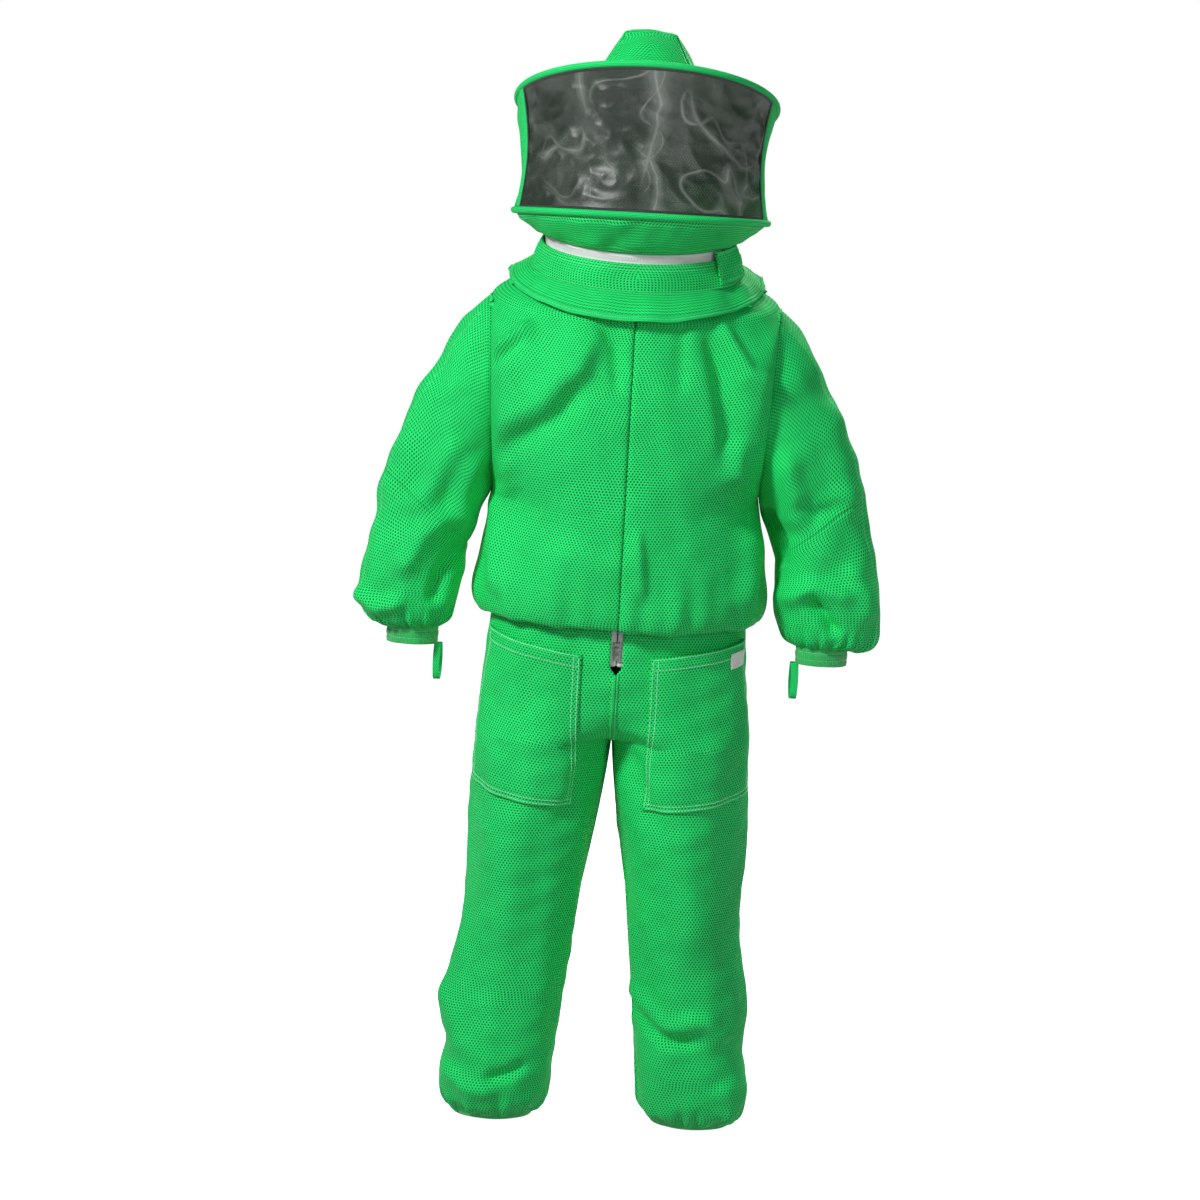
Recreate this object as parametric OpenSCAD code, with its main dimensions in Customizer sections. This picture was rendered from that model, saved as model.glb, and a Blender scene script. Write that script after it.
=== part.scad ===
// Ventilated beekeeping suit with a fencing hood: a one-piece blouse and trousers,
// a round veil hood on a neck zip, elastic cuffs and ankles.
// +Z is up, -Y is the front, +X is the wearer's left. The origin is the centre of the neck zip.

/* [Cloth] */
// Thickness of the three-layer ventilated mesh cloth
cloth = 5; // [3:0.5:6]
// Thickness of the veil netting
net = 1; // [0.6:0.1:2]
// Gap left between neighbouring cloth pieces
gap = 0.6; // [0.5:0.1:1]

/* [Neck and collar] */
// Radius of the neck zip's ring
neck_r = 143; // [120:1:172]
// Forward slope of the neck ring, in degrees
neck_tilt = 12; // [6:1:15]
// Height of the collar stand below the zip
stand_h = 39; // [32:1:47]
// Flare of the collar stand, from top to bottom
stand_flare = 12; // [8:1:15]
// How far the collar cape reaches out over the shoulders
cape_reach = 38; // [30:1:46]
// Drop of the collar cape at the sides
cape_drop = 17; // [12:1:20]
// Extra drop of the collar cape at the front
cape_front_drop = 20; // [15:1:24]

/* [Hood] */
// Radius of the hat brim's edge
brim_r = 200; // [185:1:240]
// Height of the brim's centre above the neck zip
brim_z = 206; // [175:1:248]
// Backward tilt of the hat, in degrees
brim_tilt = 15; // [5:1:18]
// Radius of the hood's lower ring
ring_r = 196; // [185:1:236]
// Height of the hood's lower ring above the neck zip
ring_z = 35; // [32:1:42]
// Radius of the hat's head opening
head_r = 92; // [78:1:110]
// Height of the hat's crown
crown_h = 112; // [94:1:134]
// Radius of the cloth binding on both rings
bind_r = 5.5; // [4.5:0.5:7]
// Radius of the spring wire in both rings
wire_r = 1.6; // [1:0.1:2]
// How far the veil draws in between its rings
veil_waist = 10; // [0:1:14]
// Half of the veil's width round the hood, in degrees from the front
veil_half = 74; // [65:1:88]

/* [Blouse] */
// Length of the blouse from the neck zip to its lower lip
torso_len = 597; // [560:1:716]
// Half width across the shoulder seams
shoulder_w = 222; // [215:1:266]
// Half width of the blouse where it puffs over the waist
blouse_w = 228; // [215:1:232]
// Depth of the blouse in front of the neck's centre
belly = 166; // [160:1:199]
// Depth of the blouse behind the neck's centre
back_d = 172; // [168:1:206]
// Height of the armhole
armhole_h = 292; // [243:1:320]
// Depth of the armhole, front to back
armhole_d = 196; // [165:1:235]

/* [Sleeves] */
// Drop from the top of the armhole to the elbow's crease at the outside
elbow_drop = 282; // [235:1:300]
// Drop from the top of the armhole to the cuff
sleeve_drop = 519; // [500:1:622]
// Sideways place of the wrist
wrist_x = 319; // [312:1:345]
// Radius of the wrist opening
wrist_r = 34; // [29:1:41]
// Height of the cuff and of the ankle band
band_h = 30; // [25:1:36]
// Wall of the cuff and of the ankle band
band_t = 6; // [5.5:0.1:7]
// Length of the thumb loop
loop_len = 56; // [46:1:67]
// Width of the thumb loop's strap
strap_w = 12; // [9:1:12]

/* [Trousers] */
// Drop from the blouse's lip to the crotch
rise = 178; // [170:1:213]
// Drop from the crotch to the knee
thigh_len = 235; // [196:1:282]
// Drop from the knee to the ankle band
shin_len = 375; // [313:1:450]
// Half width of the trousers at the waist
waist_w = 198; // [185:1:200]
// Half width of the trousers at the hips
hip_w = 213; // [200:1:250]
// Depth of the trousers in front, at the waist
waist_d = 132; // [130:1:134]
// Radius of the ankle opening
ankle_r = 60; // [50:1:66]
// Sideways place of the ankle
ankle_x = 158; // [150:1:185]
// Place of a patch pocket's outer edge, in degrees round the thigh
pocket_start = 14; // [10:1:25]
// Distance of the pocket's inner edge from the centre
pocket_in = 53; // [40:1:63]
// Length of a pocket at its middle
pocket_len = 250; // [208:1:280]
// Room inside a pocket
pocket_room = 7; // [6:0.5:8]
// Thickness of a pocket's cloth
pocket_t = 3; // [2:0.5:4]

/* [Zips] */
// Width of a zip's coil on each side of its centre
coil_w = 2.8; // [2.3:0.1:3.3]
// Width of a zip tape
tape_w = 13; // [11:0.5:15]
// Thickness of a zip tape
tape_t = 1; // [0.8:0.1:1.2]
// Depth of the front zip behind the centre front
zip_y = 126; // [125:0.5:126]
// Height of a zip slider
slider_h = 14; // [12:0.5:16]
// Width of a zip slider
slider_w = 12; // [10:0.5:13]
// Thickness of a slider's plates
plate_t = 1.6; // [1.2:0.1:1.8]
// Length of a zip pull
pull_len = 20; // [16:1:22]
// Place of the hood zip's slider round the neck, in degrees from the front
park = 62; // [50:1:75]
// Half of the zip flap's width round the neck, in degrees
flap_half = 14; // [11:1:18]

/* [Hidden] */
$fn = 96;
EPS = 0.01;
slit = 0.6;             // half gap between the two rows of a zip's coil
coil_t = 2.2;           // thickness of a coil
web = 0.3;              // half thickness of a slider's web, which runs in the slit
play = 0.6;             // clearance of a slider over its coil
tape_show = 7;          // tape left bare on each side of the neck zip
patch_t = 1.2;          // thickness of each hook-and-loop patch
stitch_in = 0.4;        // clearance round an elastic in its casing
wall_t = 1.4;           // cloth of an elastic's casing

stand_top = -tape_show;
stand_bot = -tape_show - stand_h;
stand_r0 = neck_r + 5;
stand_r1 = stand_r0 + stand_flare;
lip_z = -torso_len;
waist_z = lip_z + 32;
crotch_z = lip_z - rise;
knee_z = crotch_z - thigh_len;
hem_z = knee_z - shin_len;
zip_top = -96;
zip_bot = lip_z - 53;
arm_top = -93;
arm_bot = arm_top - armhole_h;
arm_tuck = 17;          // how far the armhole leans in towards the underarm
cuff_z = arm_top - sleeve_drop;
wrist_y = -22;
knee_back = 96;
collar_tuck = cloth + 3;  // how far below the collar stand the blouse's neckline lies
arm_gap = 3.4;          // gap at the armhole, which clears the sleeve's slanted edge
centre_z = [-130, -190, -270, -345];  // the centre line's heights beside the shoulder and armhole
front_flat = 60;        // height below the lip where the trousers' front keeps the waist's depth

green = "#18d468";
dark_green = "#12a850";
white = "#f4f6f4";
metal = "#5a5f5c";
black = "#3c4237";

// ---- helpers ----

function mix(a, b, t) = a + (b - a) * t;

function clamp(x) = min(max(x, 0), 1);

function smooth(x) = let (c = clamp(x)) c * c * (3 - 2 * c);

// A smooth curve through evenly numbered keys, at s from 0 to the last key's number.
function spline(keys, s) =
    let (n = len(keys) - 1,
        i = min(max(floor(s), 0), n - 1),
        t = s - i,
        a = keys[max(i - 1, 0)],
        b = keys[i],
        c = keys[i + 1],
        d = keys[min(i + 2, n)])
    0.5 * (2 * b + (c - a) * t + (2 * a - 5 * b + 4 * c - d) * t * t
        + (3 * b - a - 3 * c + d) * t * t * t);

// The unit normal of the surface f at (u, v), from its two tangents.
function normal(f, u, v) =
    let (e = 0.004,
        n = cross(f(u + e, v) - f(u - e, v), f(u, v + e) - f(u, v - e)))
    n / norm(n);

function tri(a, b, c, side) = side > 0 ? [a, c, b] : [a, b, c];

// A cloth panel: the surface f over the unit square, lifted along its normal and thickened inward.
// side is 1 or -1 and turns the normal outward; wrap joins u = 1 to u = 0.
module panel(f, nu, nv, t = cloth, lift = 0, side = 1, wrap = false) {
    m = wrap ? nu : nu + 1;
    grid = [for (j = [0:nv]) for (i = [0:m - 1])
        [f(i / nu, j / nv), side * normal(f, i / nu, j / nv)]];
    outer = [for (p = grid) p[0] + p[1] * lift];
    inner = [for (p = grid) p[0] + p[1] * (lift - t)];
    n = len(outer);
    at = function(j, i) j * m + i % m;
    skin = [for (j = [0:nv - 1]) for (i = [0:nu - 1])
        let (a = at(j, i), b = at(j, i + 1), c = at(j + 1, i + 1), d = at(j + 1, i))
        each [tri(a, b, c, side), tri(a, c, d, side),
            tri(n + a, n + c, n + b, side), tri(n + a, n + d, n + c, side)]];
    ends = [for (i = [0:nu - 1])
        let (a = at(0, i), b = at(0, i + 1), c = at(nv, i), d = at(nv, i + 1))
        each [tri(a, n + a, n + b, side), tri(a, n + b, b, side),
            tri(c, n + d, n + c, side), tri(c, d, n + d, side)]];
    sides = wrap ? [] : [for (j = [0:nv - 1])
        let (a = at(j, 0), d = at(j + 1, 0), b = at(j, nu), c = at(j + 1, nu))
        each [tri(a, d, n + d, side), tri(a, n + d, n + a, side),
            tri(b, n + c, c, side), tri(b, n + b, n + c, side)]];
    polyhedron(points = concat(outer, inner), faces = concat(skin, ends, sides));
}

// A point at radius r, phi degrees from the front towards the wearer's left, h above the neck zip.
function neck_point(r, phi, h) =
    let (y = -r * cos(phi))
    [r * sin(phi), y * cos(neck_tilt) - h * sin(neck_tilt),
        y * sin(neck_tilt) + h * cos(neck_tilt)];

// The same for the hat's brim, which tilts back.
function brim_point(r, phi, h) =
    let (y = -r * cos(phi))
    [r * sin(phi), y * cos(brim_tilt) + h * sin(brim_tilt),
        brim_z - y * sin(brim_tilt) + h * cos(brim_tilt)];

module at_neck() {
    rotate([neck_tilt, 0, 0]) children();
}

module at_brim() {
    translate([0, 0, brim_z]) rotate([-brim_tilt, 0, 0]) children();
}

// A ring of rectangular section, from r0 to r1 and from z0 to z1.
module band(r0, r1, z0, z1) {
    rotate_extrude() translate([r0, z0]) square([r1 - r0, z1 - z0]);
}

module left_and_right(side) {
    if (side > 0) children();
    else mirror([1, 0, 0]) children();
}

// ---- hood ----

// Radius of the crown's outside at height h, a rounded dome.
function crown_r(h) = head_r * pow(1 - pow(clamp(h / crown_h), 2.4), 1 / 2.2);

module hat_crown() {
    steps = 14;
    heights = [for (i = [0:steps]) crown_h * sin(90 * i / steps)];
    outer = [for (h = heights) [crown_r(h), h]];
    inner = [for (i = [steps:-1:0])
        [max(crown_r(heights[i]) - cloth, 0), min(heights[i], crown_h - cloth)]];
    color(green) at_brim() translate([0, 0, cloth / 2])
        rotate_extrude() polygon(concat(outer, [[0, crown_h - cloth]], [for (p = inner) if (p[0] > 0) p]));
}

module hat_brim() {
    color(green) at_brim() band(head_r - cloth, brim_r - bind_r - gap, -cloth / 2, cloth / 2 - gap);
}

module hat_sweatband() {
    color(dark_green) at_brim()
        band(head_r - cloth - 5, head_r - cloth - 2.6, -cloth / 2, cloth / 2 + 30);
}

module ring_tube(r, r0, r1) {
    rotate_extrude() translate([r, 0]) difference() {
        circle(r1, $fn = 32);
        if (r0 > 0) circle(r0, $fn = 32);
    }
}

module brim_wire() {
    color(metal) at_brim() ring_tube(brim_r, 0, wire_r);
}

module brim_binding() {
    color(green) at_brim() ring_tube(brim_r, wire_r + 0.2, bind_r);
}

module at_ring() {
    translate([0, 0, ring_z]) children();
}

module ring_wire() {
    color(metal) at_ring() ring_tube(ring_r, 0, wire_r);
}

module ring_binding() {
    color(green) at_ring() ring_tube(ring_r, wire_r + 0.2, bind_r);
}

// The hood's wall between its two rings; v runs down from the brim.
function veil_point(phi, v) =
    let (reach = bind_r + 2,
        a = brim_point(brim_r, phi, -reach),
        b = [ring_r * sin(phi), -ring_r * cos(phi), ring_z + reach],
        p = mix(a, b, v),
        k = 1 - veil_waist / ring_r * sin(180 * clamp(v)))
    [p[0] * k, p[1] * k, p[2]];

seam_half = 3;          // half width of a veil seam's binding, in degrees

module veil_net() {
    f = function(u, v) veil_point(mix(-veil_half + seam_half, veil_half - seam_half, u), v);
    color(black, 0.6) panel(f, 28, 6, net, 0, -1);
}

module hood_back() {
    f = function(u, v) veil_point(mix(veil_half + seam_half, 360 - veil_half - seam_half, u), v);
    color(green) panel(f, 32, 6, 2, 0, -1);
}

module veil_seam(side) {
    trim = 0.3;         // gap to the net and to the back, in degrees
    f = function(u, v) veil_point(mix(veil_half - seam_half + trim, veil_half + seam_half - trim, u), v);
    color(green) left_and_right(side) panel(f, 2, 6, 3, 0.5, -1);
}

module hood_skirt() {
    f = function(u, v)
        let (phi = -360 * u,
            a = [(ring_r - 2) * sin(phi), -(ring_r - 2) * cos(phi), ring_z - bind_r - 4],
            b = neck_point(neck_r + 5, phi, tape_show))
        mix(a, b, v);
    color(green) panel(f, 40, 2, 3, 0, 1, true);
}

module neck_zip_upper_tape() {
    color(white) at_neck() band(neck_r, neck_r + tape_t, coil_w + gap, tape_w);
}

module neck_zip_upper_coil() {
    color(white) at_neck() band(neck_r, neck_r + coil_t, slit, coil_w);
}

module neck_zip_lower_tape() {
    color(white) at_neck() band(neck_r, neck_r + tape_t, -tape_w, -coil_w - gap);
}

module neck_zip_lower_coil() {
    color(white) at_neck() band(neck_r, neck_r + coil_t, -coil_w, -slit);
}

module neck_zip_slider() {
    half = slider_h / neck_r * 90 / PI;
    top = min(slider_w / 2, tape_show - 1);
    color(metal) at_neck() rotate([0, 0, park - 90 - half]) {
        rotate_extrude(angle = 2 * half) {
            translate([neck_r + coil_t + play, -top]) square([plate_t, 2 * top]);
            translate([neck_r - play - plate_t, -top]) square([plate_t, 2 * top]);
            translate([neck_r - play - plate_t, -web])
                square([coil_t + 2 * play + 2 * plate_t, 2 * web]);
        }
    }
}

// The flap lies over the collar stand with both patches between them.
flap_top = 5;
flap_bot = stand_bot + 6;
flap_lift = 2 * patch_t + 3 * gap;

function stand_point(phi, h) =
    neck_point(mix(stand_r0, stand_r1, (stand_top - h) / stand_h) + cloth, phi, h);

function flap_point(w, h0, h1) = function(u, v)
    stand_point(park + mix(-w, w, u), mix(h0, h1, v));

module zip_flap() {
    color(green) panel(flap_point(flap_half, flap_top, flap_bot), 8, 3, 3, flap_lift + 3, -1);
}

module flap_hook_patch() {
    color(white) panel(flap_point(flap_half - 3, flap_top - 14, flap_bot + 8), 6, 2,
        patch_t, flap_lift - gap, -1);
}

module flap_loop_patch() {
    color(dark_green) panel(flap_point(flap_half - 3, flap_top - 14, flap_bot + 8), 6, 2,
        patch_t, gap + patch_t, -1);
}

// ---- collar ----

module collar_stand() {
    f = function(u, v) stand_point(360 * u, mix(stand_top, stand_bot, v));
    color(green) panel(f, 40, 2, cloth, 0, -1, true);
}

// The cape's edge: an oval that drops further at the front.
function cape_edge(phi) =
    let (p = neck_point(stand_r1 + cape_reach, phi, stand_bot - cape_drop),
        front = (1 + cos(phi)) / 2)
    [p[0], p[1] * 0.97, p[2] - cape_front_drop * front * front + 4 * cape_drop / 17 * sin(phi) * sin(phi)];

function cape_point(phi, v) =
    let (a = neck_point(stand_r1 + cloth, phi, stand_bot - gap),
        b = cape_edge(phi),
        p = mix(a, b, v))
    [p[0], p[1], p[2] + 5 * sin(180 * v)];

piping = 0.8;           // where the cape ends and its piping begins

module collar_cape() {
    f = function(u, v) cape_point(360 * u, v * piping);
    color(green) panel(f, 44, 3, cloth, 0, -1, true);
}

module collar_piping() {
    f = function(u, v) cape_point(360 * u, mix(piping + 0.02, 1, v));
    color(green) panel(f, 44, 1, cloth + 1, 0.5, -1, true);
}

// ---- blouse ----

// Each key holds the outer edge's x, y and z, and the centre line's y and z, from neck to lip.
// The outer edge runs down the neckline, the shoulder, the armhole and the side seam.
function blouse_keys(depth, sign, neck_side) =
    let (s = neck_point(stand_r1, 90, stand_bot - collar_tuck),
        c = neck_point(stand_r1, neck_side, stand_bot - collar_tuck),
        d = armhole_d / 2,
        h = armhole_h,
        z = arm_top,
        w = shoulder_w)
    [[s[0], s[1], s[2], c[1], c[2]],
        [mix(s[0], w, 0.4), s[1] / 2, mix(s[2], z, 0.32), mix(c[1], sign * depth, 0.25), c[2] - 30],
        [w, 0, z, mix(c[1], sign * depth, 0.5), centre_z[0]],
        [w - 0.15 * arm_tuck, sign * d * 0.77, z - 0.18 * h, mix(c[1], sign * depth, 0.8), centre_z[1]],
        [w - 0.5 * arm_tuck, sign * d, z - 0.5 * h, sign * depth, centre_z[2]],
        [w - 0.85 * arm_tuck, sign * d * 0.72, z - 0.85 * h, sign * depth, centre_z[3]],
        [w - arm_tuck, 0, z - h, sign * depth, mix(centre_z[3], lip_z, 0.3)],
        [mix(w - arm_tuck, blouse_w, 0.65), 0, mix(z - h, lip_z, 0.42),
            sign * depth, mix(centre_z[3], lip_z, 0.6)],
        [blouse_w, 0, mix(z - h, lip_z, 0.78), sign * (depth + 2), mix(centre_z[3], lip_z, 0.85)],
        [blouse_w - 7, 0, lip_z + 8, sign * (depth - 5), lip_z],
        [waist_w + 10, 0, lip_z + 3, sign * (waist_d + 17), lip_z - 6]];

// The edge's y: the shoulder seam and the side seam lie on the middle plane.
function edge_y(keys, s, y) = s < 2 ? keys[0][1] * (1 - s / 2) : s > 6 ? 0 : y;

// The edge's x: the armhole lies on one plane, which leans in towards the underarm.
function edge_x(s, x, z) = s < 2 || s > 6 ? x : shoulder_w - arm_tuck * (arm_top - z) / armhole_h;

function blouse_point(keys, x0, u, v) =
    let (s = v * (len(keys) - 1),
        k = spline(keys, s),
        a = 90 * u)
    [mix(x0, edge_x(s, k[0], k[2]), sin(a)), mix(edge_y(keys, s, k[1]), k[3], cos(a)),
        mix(k[4], k[2], 1 - cos(a))];

seam = 0.5;             // half of the gap at a centre seam

module front_half(side) {
    keys = blouse_keys(belly, -1, 0);
    f = function(u, v) blouse_point(keys, seam, u, v);
    color(green) left_and_right(side) panel(f, 9, 20, cloth, 0, -1);
}

back_gap = 1.6;         // gap between the front and the back at their seams

module back_panel() {
    keys = blouse_keys(back_d, 1, 180);
    f = function(u, v)
        let (w = 2 * u - 1,
            p = blouse_point(keys, 0, abs(w), v))
        [w < 0 ? -p[0] : p[0], p[1] + back_gap, p[2]];
    color(green) panel(f, 18, 20, cloth, 0, 1);
}

module waist_elastic() {
    f = function(u, v) [
        (waist_w - 8) * cos(360 * u), (waist_d - 11) * sin(360 * u), mix(waist_z - 6, waist_z - 28, v)];
    color(white) panel(f, 36, 1, 2, 0, -1, true);
}

// ---- front zip ----

module front_zip_tape(side) {
    color(white) left_and_right(side)
        translate([coil_w + gap, -zip_y, zip_bot]) cube([tape_w - coil_w, tape_t, zip_top - zip_bot]);
}

module front_zip_coils() {
    color(white) for (side = [-1, 1]) left_and_right(side)
        translate([slit, -zip_y - coil_t + tape_t, zip_bot])
            cube([coil_w - slit, coil_t, zip_top - zip_bot]);
}

// A slider: two plates joined by a thin web in the coil's slit, top at height z.
module slider(z) {
    front = -zip_y - coil_t + tape_t - play;
    back = -zip_y + tape_t + play;
    translate([-slider_w / 2, front - plate_t, z - slider_h]) cube([slider_w, plate_t, slider_h]);
    translate([-slider_w / 2, back, z - slider_h]) cube([slider_w, plate_t, slider_h]);
    translate([-web, front - plate_t / 2, z - slider_h]) cube([2 * web, back - front + plate_t, slider_h]);
}

module top_slider() {
    color(metal) slider(zip_top - 2);
}

bottom_z = lip_z - 15;
pull_y = -zip_y - coil_t + tape_t - play - plate_t - 2.4;

module bottom_slider() {
    ear = 2.4;
    color(metal) {
        slider(bottom_z);
        for (x = [-ear / 2 - 2.5, 2.5 - ear / 2])
            translate([x, pull_y - 1, bottom_z - 6]) cube([ear, 3.6, 5]);
    }
}

module bottom_pull() {
    color(metal) {
        translate([-0.9, pull_y - 0.8, bottom_z - 9]) cube([1.8, 1.6, 7]);
        translate([-3.6, pull_y - 0.8, bottom_z - 8 - pull_len]) cube([7.2, 1.6, pull_len]);
    }
}

// ---- sleeves ----

// Each key holds the outer edge's x and z, the inner edge's x and z, the half depth and the
// centre's y, from the armhole to the cuff. The elbow is key 4.
elbow_key = 4;

function sleeve_keys() =
    let (w = shoulder_w + arm_gap,
        top = arm_top,
        bot = arm_bot,
        e = arm_top - elbow_drop,
        c = cuff_z,
        x = wrist_x,
        rim = wrist_r + band_t + 2 * gap,
        d = armhole_d / 2)
    [[w, top, w - arm_tuck, bot, d, 0],
        [w + 42, mix(top, e, 0.15), w - arm_tuck + 6, bot - 18, d, -1],
        [w + 80, mix(top, e, 0.4), w - arm_tuck + 16, bot - 42, d * 0.94, -3],
        [w + 115, mix(top, e, 0.7), w - arm_tuck + 24, bot - 68, d * 0.88, -5],
        [w + 145, e, w - arm_tuck + 32, bot - 95, d * 0.83, -8],
        [x + 73, mix(e, c, 0.38), x - 79, mix(bot - 95, c, 0.2), d * 0.79, -12],
        [x + 85, mix(e, c, 0.66), x - 77, mix(bot - 95, c, 0.48), d * 0.76, -16],
        [x + 86, mix(e, c, 0.86), x - 70, mix(bot - 95, c, 0.75), d * 0.7, -19],
        [x + 74, mix(e, c, 0.97), x - 60, c + 10, d * 0.58, wrist_y],
        [x + rim, c, x - rim, c, rim, wrist_y]];

function sleeve_point(u, s) =
    let (k = spline(sleeve_keys(), s),
        a = 360 * u,
        cx = (k[0] + k[2]) / 2,
        cz = (k[1] + k[3]) / 2)
    [cx + (k[0] - k[2]) / 2 * cos(a), k[5] + k[4] * sin(a), cz + (k[1] - k[3]) / 2 * cos(a)];

module sleeve(side) {
    f = function(u, v) sleeve_point(u, mix(0, elbow_key, v));
    color(green) left_and_right(side) panel(f, 24, 6, cloth - 1, 0, -1, true);
}

module forearm(side) {
    start = gap / 20;
    f = function(u, v) sleeve_point(u, mix(elbow_key + start, len(sleeve_keys()) - 1, v));
    color(green) left_and_right(side) panel(f, 24, 10, cloth - 1, 0, -1, true);
}

// A casing open at the top, round an elastic: radius r inside, wall t, top at height 0.
module casing(r, t, h) {
    band(r, r + wall_t, -h, 0);
    band(r + t - wall_t, r + t, -h, 0);
    band(r + wall_t - EPS, r + t - wall_t + EPS, -h, -h + wall_t);
}

module elastic(r, t, h) {
    band(r + wall_t + stitch_in, r + t - wall_t - stitch_in, -h + wall_t + stitch_in, -2);
}

module cuff(side) {
    color(dark_green) left_and_right(side)
        translate([wrist_x, wrist_y, cuff_z]) casing(wrist_r, band_t, band_h);
}

module cuff_elastic(side) {
    color(white) left_and_right(side)
        translate([wrist_x, wrist_y, cuff_z]) elastic(wrist_r, band_t, band_h);
}

// A strap folded into a long loop under the cuff's inner side.
module thumb_loop(side) {
    r = 11.5;
    t = 2.4;
    color(green) left_and_right(side)
        translate([wrist_x - wrist_r - strap_w - 1, wrist_y, cuff_z - band_h]) rotate([90, 0, 90])
            linear_extrude(strap_w) difference() {
                union() {
                    translate([0, r - loop_len]) circle(r);
                    translate([-r, r - loop_len]) square([2 * r, loop_len - r]);
                }
                translate([0, r - loop_len]) circle(r - t);
                translate([t - r, r - loop_len]) square([2 * r - 2 * t, loop_len]);
            }
}

// ---- trousers ----

// Half width of the trousers at height z, from waist to knee.
function side_x(z) = z > crotch_z
    ? mix(waist_w, hip_w, smooth((waist_z - z) / (waist_z - crotch_z)))
    : mix(hip_w, hip_w + 6, smooth((crotch_z - z) / thigh_len));

// Half width of one leg, and how far its centre lies from the middle of the body.
function leg_in(z) = mix(0, 34, pow(clamp((crotch_z - z) / thigh_len), 1.3));

function leg_c(z) = z > crotch_z
    ? side_x(z) / 2 * pow(clamp((waist_z - z) / (waist_z - crotch_z)), 3)
    : (side_x(z) + leg_in(z)) / 2;

function front_d(z) = z > crotch_z
    ? mix(waist_d, waist_d - 8, smooth((lip_z - front_flat - z) / (rise - front_flat)))
    : mix(waist_d - 8, 100, smooth((crotch_z - z) / thigh_len));

function seat_d(z) = z > crotch_z
    ? mix(waist_d, waist_d + 14, smooth((waist_z - z) / rise))
    : mix(waist_d + 14, knee_back, smooth((crotch_z - z) / thigh_len));

// The angle round the leg at which its surface meets x.
function leg_angle(x, z) = acos(max(-1, min(1, (x - leg_c(z)) / (side_x(z) - leg_c(z)))));

function leg_point(a, z, sign) =
    let (c = leg_c(z),
        r = side_x(z) - c,
        d = sign < 0 ? front_d(z) : seat_d(z))
    [c + r * cos(a), sign * d * sin(a), z];

// Half of the fly's opening at height z: room for the zip, then a closed seam.
function fly(z) = mix(coil_w + tape_w / 2, seam, smooth((zip_bot - z) / 14));

side_seam = 0.4;        // half gap at the side seam and the inseam, in degrees

module trouser_front(side) {
    f = function(u, v)
        let (z = mix(waist_z, knee_z, v),
            end = z > crotch_z ? leg_angle(fly(z), z) : 180 - side_seam)
        leg_point(mix(side_seam, min(end, 180 - side_seam), u), z, -1);
    color(green) left_and_right(side) panel(f, 12, 20, cloth, 0, 1);
}

module trouser_back(side) {
    f = function(u, v)
        let (z = mix(waist_z, knee_z, v),
            end = z > crotch_z ? leg_angle(seam, z) : 180 - side_seam)
        leg_point(mix(side_seam, min(end, 180 - side_seam), u), z, 1);
    color(green) left_and_right(side) panel(f, 12, 20, cloth, 0, -1);
}

// A patch pocket with a slanted mouth that rises towards the side seam.
function pocket_point(u, v) =
    let (top = mix(lip_z - 10, lip_z - 38, u),
        bot = top - pocket_len + 10 - 26 * u * (1 - u),
        z = mix(top, bot, v))
    leg_point(mix(pocket_start, leg_angle(pocket_in, z), u), z, -1);

module pocket(side) {
    f = function(u, v) pocket_point(u, v);
    color(green) left_and_right(side) panel(f, 12, 10, pocket_t, pocket_room + pocket_t, 1);
}

// A blank woven patch near the mouth of the wearer's left pocket.
module pocket_patch() {
    f = function(u, v) pocket_point(mix(0.06, 0.3, u), mix(0.05, 0.15, v));
    color(white) panel(f, 4, 2, 0.6, pocket_room + pocket_t + 1, 1);
}

// ---- lower legs ----

// Each key holds the outer and the inner edge's x, the front and back depth, and z.
function shin_keys() =
    let (x = ankle_x,
        z = function(t) mix(knee_z - gap, hem_z + 4, t),
        rim = ankle_r + band_t + gap + cloth)
    [[hip_w + 6, 34, 100, knee_back, z(0)],
        [mix(hip_w + 6, x + 76, 0.4), mix(34, x - 104, 0.5), 96, 96, z(0.24)],
        [x + 80, x - 103, 94, 96, z(0.5)],
        [x + 76, x - 96, 92, 93, z(0.68)],
        [x + 88, x - 91, 94, 94, z(0.84)],
        [x + 84, x - 86, 88, 88, z(0.94)],
        [x + rim, x - rim, rim, rim, z(1)]];

module leg(side) {
    keys = shin_keys();
    f = function(u, v)
        let (k = spline(keys, v * (len(keys) - 1)),
            a = 360 * u)
        [(k[0] + k[1]) / 2 + (k[0] - k[1]) / 2 * cos(a), (sin(a) < 0 ? k[2] : k[3]) * sin(a), k[4]];
    color(green) left_and_right(side) panel(f, 26, 12, cloth, 0, -1, true);
}

module ankle_band(side) {
    color(dark_green) left_and_right(side)
        translate([ankle_x, 0, hem_z + band_h]) casing(ankle_r, band_t, band_h);
}

module ankle_elastic(side) {
    color(white) left_and_right(side)
        translate([ankle_x, 0, hem_z + band_h]) elastic(ankle_r, band_t, band_h);
}

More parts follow.
